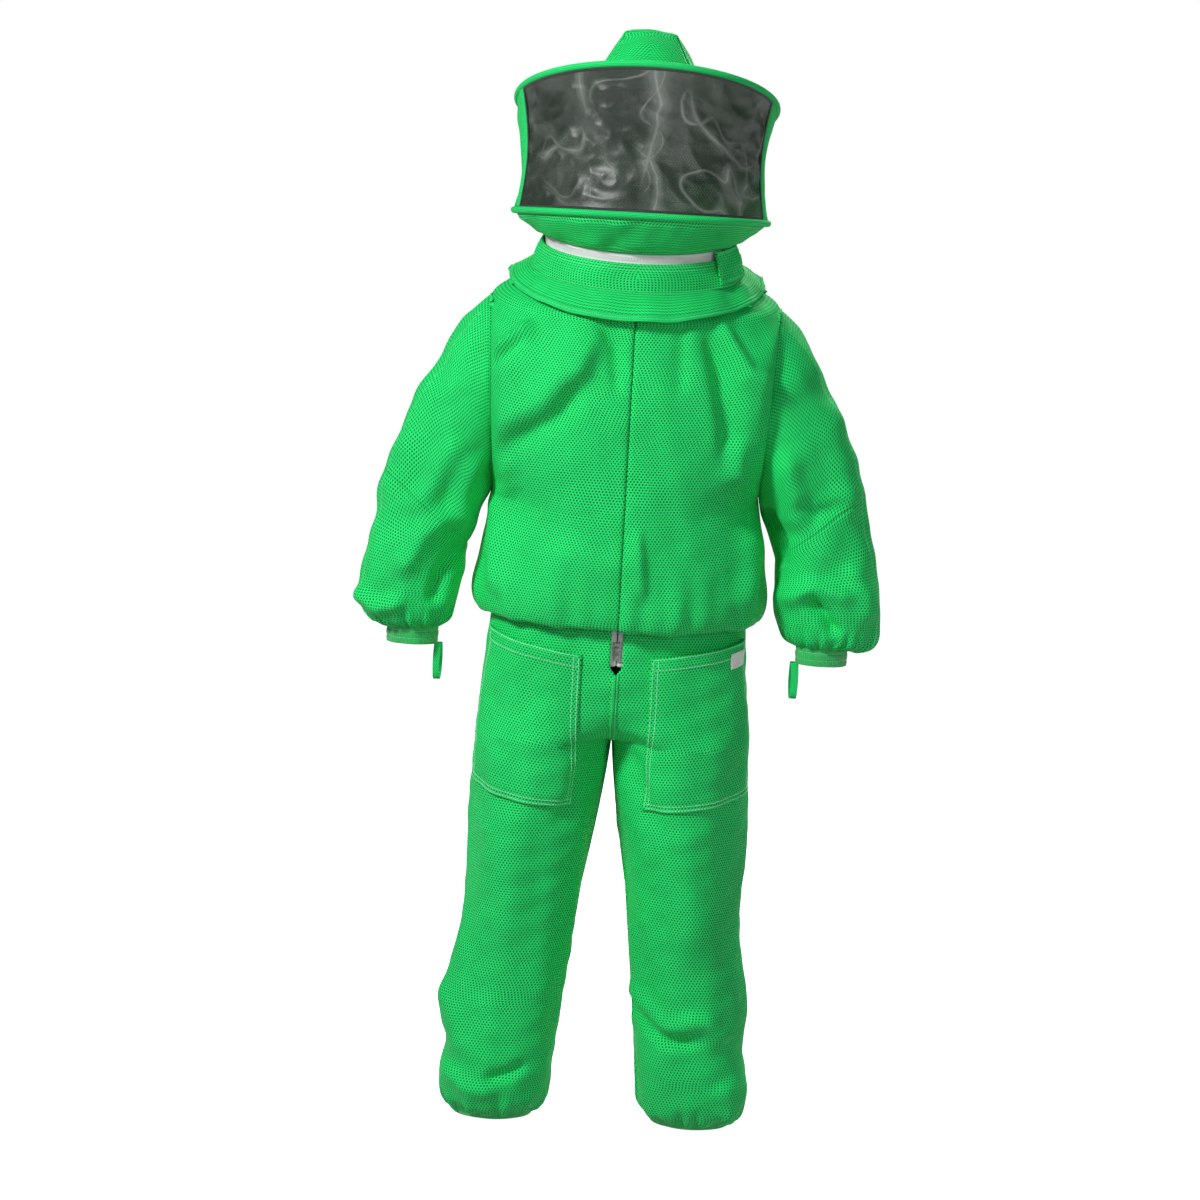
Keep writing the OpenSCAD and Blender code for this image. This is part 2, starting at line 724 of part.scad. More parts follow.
hat_crown();
hat_brim();
hat_sweatband();
brim_wire();
brim_binding();
veil_net();
hood_back();
veil_seam(1);  // veil_seam_left
veil_seam(-1);  // veil_seam_right
ring_wire();
ring_binding();
hood_skirt();
neck_zip_upper_tape();
neck_zip_upper_coil();
neck_zip_lower_tape();
neck_zip_lower_coil();
neck_zip_slider();
zip_flap();
flap_hook_patch();
flap_loop_patch();
collar_stand();
collar_cape();
collar_piping();
front_half(1);  // front_left
front_half(-1);  // front_right
back_panel();
waist_elastic();
front_zip_tape(1);  // front_zip_tape_left
front_zip_tape(-1);  // front_zip_tape_right
front_zip_coils();
top_slider();
bottom_slider();
bottom_pull();
sleeve(1);  // sleeve_left
sleeve(-1);  // sleeve_right
forearm(1);  // forearm_left
forearm(-1);  // forearm_right
cuff(1);  // cuff_left
cuff(-1);  // cuff_right
cuff_elastic(1);  // cuff_elastic_left
cuff_elastic(-1);  // cuff_elastic_right
thumb_loop(1);  // thumb_loop_left
thumb_loop(-1);  // thumb_loop_right
trouser_front(1);  // trouser_front_left
trouser_front(-1);  // trouser_front_right
trouser_back(1);  // trouser_back_left
trouser_back(-1);  // trouser_back_right
pocket(1);  // pocket_left
pocket(-1);  // pocket_right
pocket_patch();
leg(1);  // leg_left
leg(-1);  // leg_right
ankle_band(1);  // ankle_band_left
ankle_band(-1);  // ankle_band_right
ankle_elastic(1);  // ankle_elastic_left
ankle_elastic(-1);  // ankle_elastic_right
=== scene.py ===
# %% [markdown]
# # A ventilated beekeeping suit with a round veil hood
# The suit hangs as if worn: a hood with two sprung rings and a veil, a collar, a blouse that puffs over
# the waist, balloon sleeves and trousers gathered at the ankles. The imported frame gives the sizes, the
# bodies and the joints, so the first step loads it and keeps its box.

import math

import bpy
import numpy as np
from mathutils import Matrix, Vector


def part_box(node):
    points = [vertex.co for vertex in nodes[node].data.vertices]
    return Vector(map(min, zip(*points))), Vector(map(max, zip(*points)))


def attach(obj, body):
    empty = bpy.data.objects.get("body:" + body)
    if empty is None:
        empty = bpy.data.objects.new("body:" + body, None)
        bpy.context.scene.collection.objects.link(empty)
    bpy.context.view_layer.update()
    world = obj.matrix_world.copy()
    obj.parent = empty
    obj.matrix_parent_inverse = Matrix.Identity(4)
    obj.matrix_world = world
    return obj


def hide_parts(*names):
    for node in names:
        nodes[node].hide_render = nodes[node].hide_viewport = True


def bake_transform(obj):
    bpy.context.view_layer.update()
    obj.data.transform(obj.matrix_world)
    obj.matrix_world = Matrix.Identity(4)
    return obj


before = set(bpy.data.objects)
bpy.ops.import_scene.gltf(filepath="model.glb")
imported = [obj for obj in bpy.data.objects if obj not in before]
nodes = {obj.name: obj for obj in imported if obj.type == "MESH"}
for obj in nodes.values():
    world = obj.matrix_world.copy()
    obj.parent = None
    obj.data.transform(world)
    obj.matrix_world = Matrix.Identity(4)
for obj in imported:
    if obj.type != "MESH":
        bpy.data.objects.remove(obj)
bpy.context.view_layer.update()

# %% [markdown]
# ## Sizes
# All lengths below are in millimetres, and the mesh maker turns them into metres. What the frame can
# say is read from it: the radius of a ring is half the width of its node.

# %% Sizes
def corner(node, high, axis):
    """A side of a node's box, in millimetres: its lowest (0) or highest (1) corner along an axis."""
    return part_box(node)[high][axis] * 1000


def half_width(node):
    """Half of a node's width across the body."""
    return (corner(node, 1, 0) - corner(node, 0, 0)) / 2


CLOTH = 3.4                  # visible thickness of the mesh cloth
NECK_R = half_width("neck_zip_upper_tape") - 1
NECK_TILT = 12.0
STAND_H = 39.0
STAND_R0 = NECK_R + 5
STAND_R1 = STAND_R0 + 12
STAND_TOP, STAND_BOT = -7.0, -46.0
BRIM_R, BRIM_Z, BRIM_TILT = half_width("brim_wire") - 1.6, 206.0, 15.0
BIND_R = half_width("brim_binding") - BRIM_R
RING_R, RING_Z = half_width("ring_wire") - 1.6, 35.0
HEAD_R, CROWN_H = half_width("hat_crown"), 112.0
VEIL_HALF, SEAM_HALF = 74.0, 3.0    # the net's half width and a seam's, in degrees from the front
VEIL_WAIST = 10.0
LIP_Z = -597.0
LIP_ROLL = 10.0               # how much higher than the lip the puffed cloth rolls under
FRONT_FLAT = 60.0             # height below the lip where the trousers' front keeps one depth
WAIST_Z = corner("trouser_front_left", 1, 2)
CROTCH_Z, KNEE_Z, HEM_Z = LIP_Z - 178, LIP_Z - 413, corner("ankle_band_left", 0, 2)
SHOULDER_W, BELLY, BACK_D, BLOUSE_W = 222.0, 166.0, 172.0, 228.0
ARM_TOP, ARM_H, ARM_D, ARM_TUCK = -93.0, 292.0, 98.0, 17.0
CENTRE_Z = (-130.0, -190.0, -270.0, -345.0)    # heights of the blouse's keys on its middle line
ELBOW_Z = ARM_TOP - 282
WAIST_W, HIP_W, WAIST_D = 198.0, 213.0, 132.0
KNEE_W, KNEE_IN = HIP_W + 6, 34.0    # a knee's outer and inner edge, from the middle of the body
KNEE_FRONT, KNEE_BACK = 100.0, 96.0    # a knee's depth before and behind the middle plane
CUFF_Z, WRIST_X, WRIST_Y, WRIST_R = corner("cuff_left", 1, 2), 319.0, -22.0, 34.0
ANKLE_X, ANKLE_R, BAND_T, BAND_H = 158.0, 60.0, 6.0, 30.0
ZIP_TOP, ZIP_BOT, ZIP_Y = -96.0, LIP_Z - 53, -corner("front_zip_tape_left", 0, 1)
PARK = 62.0                  # where the hood zip's slider rests, in degrees from the front
TAPE_NEAR, TAPE_FAR = 1.9, 12.8    # from the neck zip's middle to the two edges of a tape
SINK = 0.4                   # how deep a stitch is pressed into the cloth
SIDES = ((1, "left"), (-1, "right"))    # the wearer's two sides: the sign of x and the name
print("neck", round(NECK_R, 1), "brim", round(BRIM_R, 1), "ring", round(RING_R, 1), "zip", round(ZIP_Y, 1))

# %% [markdown]
# ## Arithmetic on whole arrays
# A surface is a function of u and v that takes arrays and gives points. These small helpers carry the
# curves that run through the maker's keys.

# %% Curves
def mix(a, b, t):
    """a at t = 0, b at t = 1, and a straight line between them."""
    return a + (b - a) * t


def smooth(x):
    """0 below 0, 1 above 1, and an even S between them: 3 x squared minus 2 x cubed."""
    c = np.clip(x, 0, 1)
    return c * c * (3 - 2 * c)


def bell(x):
    """1 at 0, falling to both sides: e to the power of minus x squared."""
    return np.exp(-(x**2))


def arch(x):
    """0 at 0 and at 1, and half a sine wave between."""
    return np.sin(np.pi * np.clip(x, 0, 1))


def fade(x, start, end):
    """0 at 0 and at 1, and 1 between: it rises over the length start and falls over the length end."""
    return smooth(x / start) * smooth((1 - x) / end)


def xyz(x, y, z):
    """Points from three arrays of any shapes that fit together."""
    return np.stack(np.broadcast_arrays(x, y, z), -1).astype(float)


def sind(a):
    """Sine of an angle in degrees."""
    return np.sin(np.radians(a))


def cosd(a):
    """Cosine of an angle in degrees."""
    return np.cos(np.radians(a))


def spline(keys, s):
    """A smooth curve through evenly numbered keys, at s from 0 to the last key's number: each span is
    the cubic that leaves a key parallel to the line between its two neighbours."""
    keys = np.asarray(keys, float)
    last = len(keys) - 1
    i = np.clip(np.floor(s).astype(int), 0, last - 1)
    t = (s - i)[..., None]
    a, b = keys[np.maximum(i - 1, 0)], keys[i]
    c, d = keys[i + 1], keys[np.minimum(i + 2, last)]
    return 0.5 * (2 * b + (c - a) * t + (2 * a - 5 * b + 4 * c - d) * t**2 + (3 * b - a - 3 * c + d) * t**3)


def across(f, u, v, side):
    """The unit normal of the surface f at (u, v): the cross product of its two slopes, times side."""
    e = 0.003
    n = np.cross(f(u + e, v) - f(u - e, v), f(u, v + e) - f(u, v - e))
    return side * n / np.maximum(np.linalg.norm(n, axis=-1, keepdims=True), 1e-9)

# %% [markdown]
# ## From a surface to a piece of cloth
# Cloth has two faces and an edge. `shell` samples a surface on a grid, lifts a second grid inward by
# the thickness and joins their rims, so the piece is closed. The UV map is in metres along the cloth,
# so that the knit's holes keep one size on every piece.

# %% Mesh makers
def add_mesh(name, points, faces, uv=None, flat_from=None):
    """A mesh object from points in millimetres and an array of four-sided faces, smooth up to
    flat_from. uv holds one pair per face corner."""
    mesh = bpy.data.meshes.new(name)
    mesh.vertices.add(len(points))
    mesh.vertices.foreach_set("co", (np.asarray(points, float) * 0.001).ravel())
    mesh.loops.add(faces.size)
    mesh.loops.foreach_set("vertex_index", faces.ravel())
    mesh.polygons.add(len(faces))
    mesh.polygons.foreach_set("loop_start", np.arange(0, faces.size, 4))
    soft = np.ones(len(faces), bool)
    if flat_from is not None:
        soft[flat_from:] = False
    mesh.polygons.foreach_set("use_smooth", soft)
    if uv is not None:
        mesh.uv_layers.new(name="UVMap").uv.foreach_set("vector", np.asarray(uv, float).ravel())
    mesh.update(calc_edges=True)
    piece = bpy.data.objects.new(name, mesh)
    bpy.context.scene.collection.objects.link(piece)
    return piece


def lengths(points, axis):
    """Distance travelled along an axis of a grid of points, in millimetres, from its first line."""
    step = np.linalg.norm(np.diff(points, axis=axis), axis=-1)
    pad = [(0, 0), (0, 0)]
    pad[axis] = (1, 0)
    return np.cumsum(np.pad(step, pad), axis=axis)


def shell(name, f, nu, nv, thick=CLOTH, side=1, wrap=False, start=0.0):
    """A closed piece of cloth on the surface f(u, v). nv is a number of even steps in v, or the values
    of v themselves. wrap joins u = 1 to u = 0. The piece keeps the width, length and area that its
    cloth has when it lies flat. start is where its UV map begins."""
    u = np.linspace(0, 1, nu + 1)
    v = np.linspace(0, 1, nv + 1) if np.isscalar(nv) else nv
    nv = len(v) - 1
    grid_u, grid_v = np.meshgrid(u, v)
    surface = f(grid_u, grid_v)
    n = across(f, grid_u, grid_v, side)
    if wrap:
        surface[:, -1], n[:, -1] = surface[:, 0], n[:, 0]
    around, along = lengths(surface, 1), lengths(surface, 0)
    middle = around[:, nu // 2:nu // 2 + 1]
    down = np.broadcast_to(start + along.mean(1)[:, None], around.shape)
    uv = np.stack([around - middle, down], -1)
    m = nu if wrap else nu + 1
    outer = surface[:, :m].reshape(-1, 3)
    inner = (surface - n * thick)[:, :m].reshape(-1, 3)
    j, i = np.meshgrid(np.arange(nv), np.arange(nu), indexing="ij")
    j, i = j.ravel(), i.ravel()
    corners = [(j, i), (j, i + 1), (j + 1, i + 1), (j + 1, i)]
    at = [(a * m + b % m, a * (nu + 1) + b) for a, b in corners]
    skin = np.stack([c[0] for c in at], 1)
    skin_uv = np.stack([c[1] for c in at], 1)
    k = len(outer)
    faces, uvs = [skin, skin[:, ::-1] + k], [skin_uv, skin_uv[:, ::-1]]

    def rim(p, q, pu, qu):
        faces.append(np.stack([p, q, q + k, p + k], 1))
        uvs.append(np.stack([pu, qu, qu, pu], 1))

    i = np.arange(nu)
    rim((i + 1) % m, i % m, i + 1, i)
    end, end_uv = nv * m, nv * (nu + 1)
    rim(end + i % m, end + (i + 1) % m, end_uv + i, end_uv + i + 1)
    if not wrap:
        j = np.arange(nv)
        rim(j * m, (j + 1) * m, j * (nu + 1), (j + 1) * (nu + 1))
        rim((j + 1) * m + nu, j * m + nu, (j + 1) * (nu + 1) + nu, j * (nu + 1) + nu)
    faces, uvs = np.concatenate(faces), np.concatenate(uvs)
    if side < 0:
        faces, uvs = faces[:, ::-1], uvs[:, ::-1]
    piece = add_mesh(name, np.concatenate([outer, inner]), np.ascontiguousarray(faces),
                     uv.reshape(-1, 2)[uvs] * 0.001, 2 * len(skin))
    a = surface[1:, 1:] - surface[:-1, :-1]
    b = surface[1:, :-1] - surface[:-1, 1:]
    area = np.linalg.norm(np.cross(a, b), axis=-1).sum() / 2 * 1e-6
    piece["cut"] = [float(around[:, -1].max()) / 1000, float(along[-1].mean()) / 1000, float(area)]
    return piece


def tube(name, centre, nu, nv, radius):
    """A tube round a closed path: centre(t) gives its points and radius(t, a) its outside at angle a
    in turns. The frame round the path is its own sideways direction and the vertical."""
    t = np.linspace(0, 1, nu + 1)
    path = centre(t)
    ahead = centre(t + 1e-3) - centre(t - 1e-3)
    ahead /= np.linalg.norm(ahead, axis=-1, keepdims=True)
    sideways = np.cross(ahead, [0, 0, 1.0])
    sideways /= np.maximum(np.linalg.norm(sideways, axis=-1, keepdims=True), 1e-9)
    up = np.cross(sideways, ahead)
    a = np.linspace(0, 1, nv + 1)[:-1]
    r = radius(t[:, None], a[None, :]) * np.ones((len(t), nv))
    turn = 2 * np.pi * a[None, :, None]
    points = path[:, None] + r[..., None] * (sideways[:, None] * np.cos(turn) + up[:, None] * np.sin(turn))
    j, i = np.meshgrid(np.arange(nu), np.arange(nv), indexing="ij")
    j, i = j.ravel(), i.ravel()
    corners = ((0, 0), (0, 1), (1, 1), (1, 0))
    faces = np.stack([(j + x) % nu * nv + (i + y) % nv for x, y in corners], 1)
    run = lengths(path[None], 1)[0]
    girth = 2 * np.pi * float(r.mean())
    uv = np.stack([np.stack([run[j + x], girth * (i + y) / nv], -1) for x, y in corners], 1)
    return add_mesh(name, points[:nu].reshape(-1, 3), faces, uv.reshape(-1, 2) * 0.001)

# %% [markdown]
# ## Folds
# Worn cloth hangs in folds that start where it is held: at the collar, the underarms, the elbows and
# the gathered hems. A fold is a ridge or a valley along a line on the cloth, steeper on one side. All
# folds are fields in space, so two panels that share a seam move together there. Slow waves with
# fixed seeds stand in for the small unevenness of cloth.

# %% Fields that move the cloth
def waves(points, size, seed, count=9):
    """Slow unevenness, about -1 to 1: a sum of sines along seeded directions, each about size long."""
    rng = np.random.default_rng(seed)
    out = 0
    for _ in range(count):
        direction = rng.normal(size=3)
        direction *= 2 * np.pi / (size * rng.uniform(0.7, 1.6) * np.linalg.norm(direction))
        out = out + np.sin(points @ direction + rng.uniform(0, 2 * np.pi))
    return out / math.sqrt(count)


def fold(points, line, before, after, height):
    """A ridge of that height along a line of (x, z) points: it falls off as a bell whose width is
    before on the line's left and after on its right, and fades out at the line's two ends."""
    p = points[..., [0, 2]]
    line = np.asarray(line, float)
    total = np.linalg.norm(np.diff(line, axis=0), axis=1).sum()
    best, value, start = np.full(p.shape[:-1], 1e9), np.zeros(p.shape[:-1]), 0.0
    for a, b in zip(line[:-1], line[1:]):
        long = np.linalg.norm(b - a)
        along = (b - a) / long
        t = np.clip((p - a) @ along, 0, long)
        gap = p - a - t[..., None] * along
        d = np.linalg.norm(gap, axis=-1)
        left = gap[..., 1] * along[0] - gap[..., 0] * along[1] > 0
        s = (start + t) / total
        h = bell(d / np.where(left, before, after)) * fade(s, 0.25, 0.25)
        closer = d < best
        best, value = np.where(closer, d, best), np.where(closer, h, value)
        start += long
    return height * value


def folds(points, table, facing):
    """The sum of a table of folds, for the side of the body that faces the front (-1) or back (1)."""
    seen = smooth((facing * points[..., 1] + 20) / 50)
    return seen * sum(fold(points, *row) for row in table)


def draped(f, side, move):
    """The surface f moved along its normal by move(points, u, v)."""
    def g(u, v):
        p = f(u, v)
        return p + across(f, u, v, side) * move(p, u, v)[..., None]
    return g


def lifted(f, side, height):
    """The surface f moved along its normal by one height."""
    return draped(f, side, lambda p, u, v: np.full(p.shape[:-1], height))

# %% [markdown]
# ## Finishes
# Shader maths reads like arithmetic: a Wire wraps a socket, and +, -, * and / on wires add Math nodes.
# Every other node comes from Finish.node, which sets a node's settings first and its sockets next.

# %% The shader kit
class Wire:
    """A socket of a finish's nodes that can be used in arithmetic."""

    def __init__(self, finish, socket):
        self.finish, self.socket = finish, socket

    def maths(self, operation, *others):
        """A Math node on this wire and the others."""
        n = self.finish.node("ShaderNodeMath", {"operation": operation}, dict(enumerate((self, *others))))
        return Wire(self.finish, n.outputs[0])

    def __add__(self, other):
        return self.maths("ADD", other)

    __radd__ = __add__

    def __sub__(self, other):
        return self.maths("SUBTRACT", other)

    def __rsub__(self, other):
        return (self * -1.0).maths("ADD", other)

    def __mul__(self, other):
        return self.maths("MULTIPLY", other)

    __rmul__ = __mul__

    def __truediv__(self, other):
        return self.maths("DIVIDE", other)


class Finish:
    """A material under construction: a Principled shader and the nodes that feed it."""

    def __init__(self, name, **constants):
        self.material = bpy.data.materials.new(name)
        self.material.use_nodes = True
        self.tree = self.material.node_tree
        self.shader = self.tree.nodes["Principled BSDF"]
        for key, value in constants.items():
            self.shader.inputs[key.replace("_", " ")].default_value = value

    def node(self, kind, settings=None, sockets=None):
        """Adds a node: its settings first, then its sockets' values or links."""
        n = self.tree.nodes.new(kind)
        for key, value in (settings or {}).items():
            setattr(n, key, value)
        for key, value in (sockets or {}).items():
            self.feed(n.inputs[key], value)
        return n

    def feed(self, socket, value):
        """Links a wire to a socket, or sets its value."""
        if isinstance(value, Wire):
            self.tree.links.new(value.socket, socket)
        else:
            socket.default_value = value

    def wire(self, n, output=0):
        """The output of a node as a wire."""
        return Wire(self, n.outputs[output])

    def cloth_uv(self, step_u, step_v):
        """The piece's UV map in steps of those sizes, in metres: two wires."""
        uv = self.node("ShaderNodeUVMap", {"uv_map": "UVMap"})
        parts = self.node("ShaderNodeSeparateXYZ", None, {0: self.wire(uv)})
        return self.wire(parts, 0) / step_u, self.wire(parts, 1) / step_v

    def noise(self, scale, detail=2.0):
        """Noise on the object's own coordinates, 0 to 1."""
        place = self.wire(self.node("ShaderNodeTexCoord"), "Object")
        n = self.node("ShaderNodeTexNoise", None, {"Vector": place, "Scale": scale, "Detail": detail})
        return self.wire(n, "Fac")

    def ramp(self, value, low, high, a=0.0, b=1.0):
        """A smooth step of value from a to b as it goes from low to high."""
        n = self.node("ShaderNodeMapRange", {"interpolation_type": "SMOOTHSTEP"},
                      {"Value": value, "From Min": low, "From Max": high, "To Min": a, "To Max": b})
        return self.wire(n)

    def blend(self, factor, a, b, how="MIX"):
        """A Mix node on two colours."""
        n = self.node("ShaderNodeMix", {"data_type": "RGBA", "blend_type": how}, {0: factor, 6: a, 7: b})
        return self.wire(n, 2)

    def bump(self, height, distance, strength=1.0):
        """A Bump node that feeds the shader's Normal."""
        n = self.node("ShaderNodeBump", None, {"Height": height, "Distance": distance, "Strength": strength})
        self.feed(self.shader.inputs["Normal"], self.wire(n))

    def colour(self, value):
        """What the shader's Base Color takes."""
        self.feed(self.shader.inputs["Base Color"], value)
        return self.material


def rgb(r, g, b):
    """A colour as the renderer takes it, from the three values of a display, 0 to 255."""
    c = np.array([r, g, b]) / 255
    return tuple(float(x) for x in np.where(c < 0.04045, c / 12.92, ((c + 0.055) / 1.055) ** 2.4)) + (1.0,)

# %% [markdown]
# ### The mesh cloth
# The outer layer is a warp knit with staggered round holes about 5 mm apart, over two more layers.
# The holes are painted dark as the shade that falls into them. Two shifted square lattices of dots give the
# stagger.

# %% Mesh cloth
def lattice(finish, pitch, hole, soft):
    """1 at the middle of each hole of a staggered lattice and 0 between: the smaller of the distances
    to the nearest point of two lattices, the second shifted by half a step both ways."""
    x, y = finish.cloth_uv(pitch, pitch * 1.5)
    nearest = None
    for shift in (0.0, 0.5):
        a = ((x + shift).maths("FRACT") - 0.5) * pitch
        b = ((y + shift).maths("FRACT") - 0.5) * (pitch * 1.5)
        d = (a * a + b * b).maths("SQRT")
        nearest = d if nearest is None else nearest.maths("MINIMUM", d)
    return finish.ramp(nearest, hole, hole + soft, 1.0, 0.0)


def mesh_cloth(name, light, dark, pitch=0.0052, bump=0.0009):
    """The holed knit: bright ribs, holes painted dark as their shade, slow changes of colour and a soft
    sheen.
    """
    m = Finish(name, Roughness=0.78, Sheen_Weight=0.12, Sheen_Roughness=0.4, Specular_IOR_Level=0.2)
    m.shader.inputs["Sheen Tint"].default_value = rgb(90, 255, 150)
    shaded_holes = lattice(m, pitch, pitch * 0.15, pitch * 0.17)
    slow = m.noise(7.0, 3.0)
    fibre = m.noise(900.0, 2.0)
    # The holes take the dark colour: painted shade inside them.
    base = m.blend(shaded_holes, light, dark)
    shade = m.ramp(slow, 0.3, 0.7, 0.90, 1.06) * m.ramp(fibre, 0.2, 0.8, 0.93, 1.05)
    grey = m.node("ShaderNodeCombineXYZ", None, {0: shade, 1: shade, 2: shade})
    m.feed(m.shader.inputs["Roughness"], m.ramp(fibre, 0.2, 0.8, 0.7, 0.88))
    m.bump((1 - shaded_holes) + fibre * 0.25, bump)
    return m.colour(m.blend(1.0, base, m.wire(grey), "MULTIPLY"))


# Each knit's second colour is the painted shade inside its holes.
GREEN = mesh_cloth("mesh_cloth", rgb(28, 238, 118), rgb(4, 104, 44))
GREEN_FINE = mesh_cloth("mesh_binding", rgb(34, 240, 124), rgb(8, 150, 66), 0.003, 0.0005)

# %% [markdown]
# ### The other finishes
# Ribbed cuffs, bright stitching, white woven tape and coils, the black net, dark metal sliders and
# spring wire.

# %% Other finishes
def striped(name, light, dark, step, bump, rough=0.7, across_width=True, **constants):
    """Cloth with fine ribs: a triangle wave along one direction of the UV map, light on the ribs and painted
    darker in the valleys between them as their shade.
    """
    m = Finish(name, Roughness=rough, **constants)
    x, y = m.cloth_uv(step, step)
    rib = ((x if across_width else y).maths("FRACT") - 0.5).maths("ABSOLUTE") * 2.0
    fibre = m.noise(700.0)
    worn = m.ramp(m.noise(22.0), 0.35, 0.7, 0.0, 0.25)
    # The valleys between the ribs are painted dark as shade, and the crests light.
    tone = m.blend(rib, dark, light)
    m.bump(rib + fibre * 0.3, bump)
    m.feed(m.shader.inputs["Roughness"], m.ramp(fibre, 0.2, 0.8, rough - 0.08, rough + 0.1))
    return m.colour(m.blend(worn, tone, dark))


RIBBED = striped("ribbed_cloth", rgb(34, 222, 108), rgb(12, 150, 66), 0.0022, 0.0006, Sheen_Weight=0.3)
STITCH = striped("stitching", rgb(176, 255, 212), rgb(110, 235, 165), 0.0008, 0.0002, 0.55)
THREAD = striped("matching_thread", rgb(96, 246, 160), rgb(50, 215, 120), 0.0008, 0.0002, 0.55)
TAPE = striped("woven_tape", rgb(252, 252, 252), rgb(226, 230, 228), 0.0011, 0.00025)
ELASTIC = striped("elastic_band", rgb(244, 246, 244), rgb(205, 210, 206), 0.0016, 0.0005)
COIL = striped("coil_plastic", rgb(250, 250, 250), rgb(222, 224, 224), 0.0012, 0.0002, 0.4)
PATCH = striped("woven_patch", rgb(250, 250, 248), rgb(228, 230, 226), 0.0006, 0.0001, 0.6)
HOOKS = striped("hook_patch", rgb(236, 240, 236), rgb(190, 198, 192), 0.0014, 0.0008, 0.85)
LOOPS = striped("loop_patch", rgb(40, 190, 96), rgb(14, 120, 56), 0.0019, 0.0009, 0.9)
BLACK = striped("net_edge", rgb(44, 46, 44), rgb(20, 21, 20), 0.0009, 0.0002, 0.6)


def metal(name, light, dark, rough):
    """Plated metal, a little cloudy, darker and rougher where it has worn."""
    m = Finish(name, Metallic=0.9)
    cloud, fine = m.noise(180.0, 3.0), m.noise(1500.0)
    m.feed(m.shader.inputs["Roughness"], m.ramp(cloud, 0.3, 0.75, rough - 0.08, rough + 0.14))
    m.bump(fine, 0.00006)
    return m.colour(m.blend(m.ramp(cloud, 0.3, 0.7), light, dark))


GUNMETAL = metal("zip_metal", rgb(122, 128, 126), rgb(66, 70, 69), 0.36)
SPRING = metal("spring_wire", rgb(190, 192, 194), rgb(140, 142, 146), 0.3)


def netting():
    """Fine black net: threads every 1.6 mm both ways, with open squares between. The threads are
    glossy, and along its creases a light grey is painted as the highlight that the creases catch."""
    m = Finish("veil_netting", Roughness=0.42, Specular_IOR_Level=0.6, Coat_Weight=0.12, Coat_Roughness=0.35)
    x, y = m.cloth_uv(0.0016, 0.0016)
    threads = None
    for w in (x, y):
        line = m.ramp((w.maths("FRACT") - 0.5).maths("ABSOLUTE"), 0.24, 0.34)
        threads = line if threads is None else threads.maths("MAXIMUM", line)
    cloud = m.ramp(m.noise(14.0, 3.0), 0.35, 0.7)
    crease_and_highlight = None
    for scale, width in ((5.0, 0.008), (8.0, 0.007), (15.0, 0.007)):
        off = (m.noise(scale, 0.0) - 0.5).maths("ABSOLUTE")
        line = m.ramp(off, 0.0, width, 0.3, 0.0) + m.ramp(off, 0.0, width * 7, 0.4, 0.0)
        crease_and_highlight = line if crease_and_highlight is None else crease_and_highlight.maths("MAXIMUM", line)
    crease_and_highlight = crease_and_highlight * m.ramp(m.noise(7.0), 0.4, 0.62)
    m.feed(m.shader.inputs["Alpha"], threads * 0.34 + cloud * 0.08 + crease_and_highlight * 0.2 + 0.26)
    m.bump(m.noise(60.0, 3.0) + crease_and_highlight, 0.0012, 0.6)
    # Along the creases the colour is lightened to grey: a painted highlight where the creased net catches the
    # lamps.
    return m.colour(m.blend(crease_and_highlight, m.blend(cloud, rgb(40, 45, 41), rgb(66, 72, 66)), rgb(170, 178, 170)))


NET = netting()
print(len(bpy.data.materials), "finishes")

# %% [markdown]
# ## Dressing a piece
# Each piece gets its finish and hides the CAD nodes that it stands for. It is attached to one body,
# or, when two bodies and two points are given, baked in place where it stands.

# %% Wear and stitches
def wear(piece, body, finish, stands_for=()):
    """Finishes a piece."""
    piece.data.materials.append(finish)
    if isinstance(body, str):
        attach(piece, body)
    else:
        a, b, start, end = body
        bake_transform(piece)
        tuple(start)
        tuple(end)
    if stands_for:
        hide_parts(*stands_for)
    return piece


def refinish(name, finish):
    """Gives a finish to a CAD node that is shown as it is."""
    nodes[name].data.materials.clear()
    nodes[name].data.materials.append(finish)


BOX_FACES = np.array([[0, 3, 2, 1], [4, 5, 6, 7], [0, 1, 5, 4], [1, 2, 6, 5], [2, 3, 7, 6], [3, 0, 4, 7]])
FOOT = ((-1, -1), (1, -1), (1, 1), (-1, 1))


def bars(name, centre, along, out, up, heights, grain):
    """Box-shaped bars, one for each row of centre. along and out are half a bar's length and width as
    arrows, heights its bottom and top along up, and grain how much of the finish runs along it."""
    points = np.stack([centre + along * x + out * y + up * z for z in heights for x, y in FOOT], 1)
    faces = (np.arange(len(centre))[:, None, None] * 8 + BOX_FACES).reshape(-1, 4)
    uv = np.tile([[0, 0], [0.001, 0], [0.001, grain], [0, grain]], (len(faces), 1))
    return add_mesh(name, points.reshape(-1, 3), faces, uv, 0)


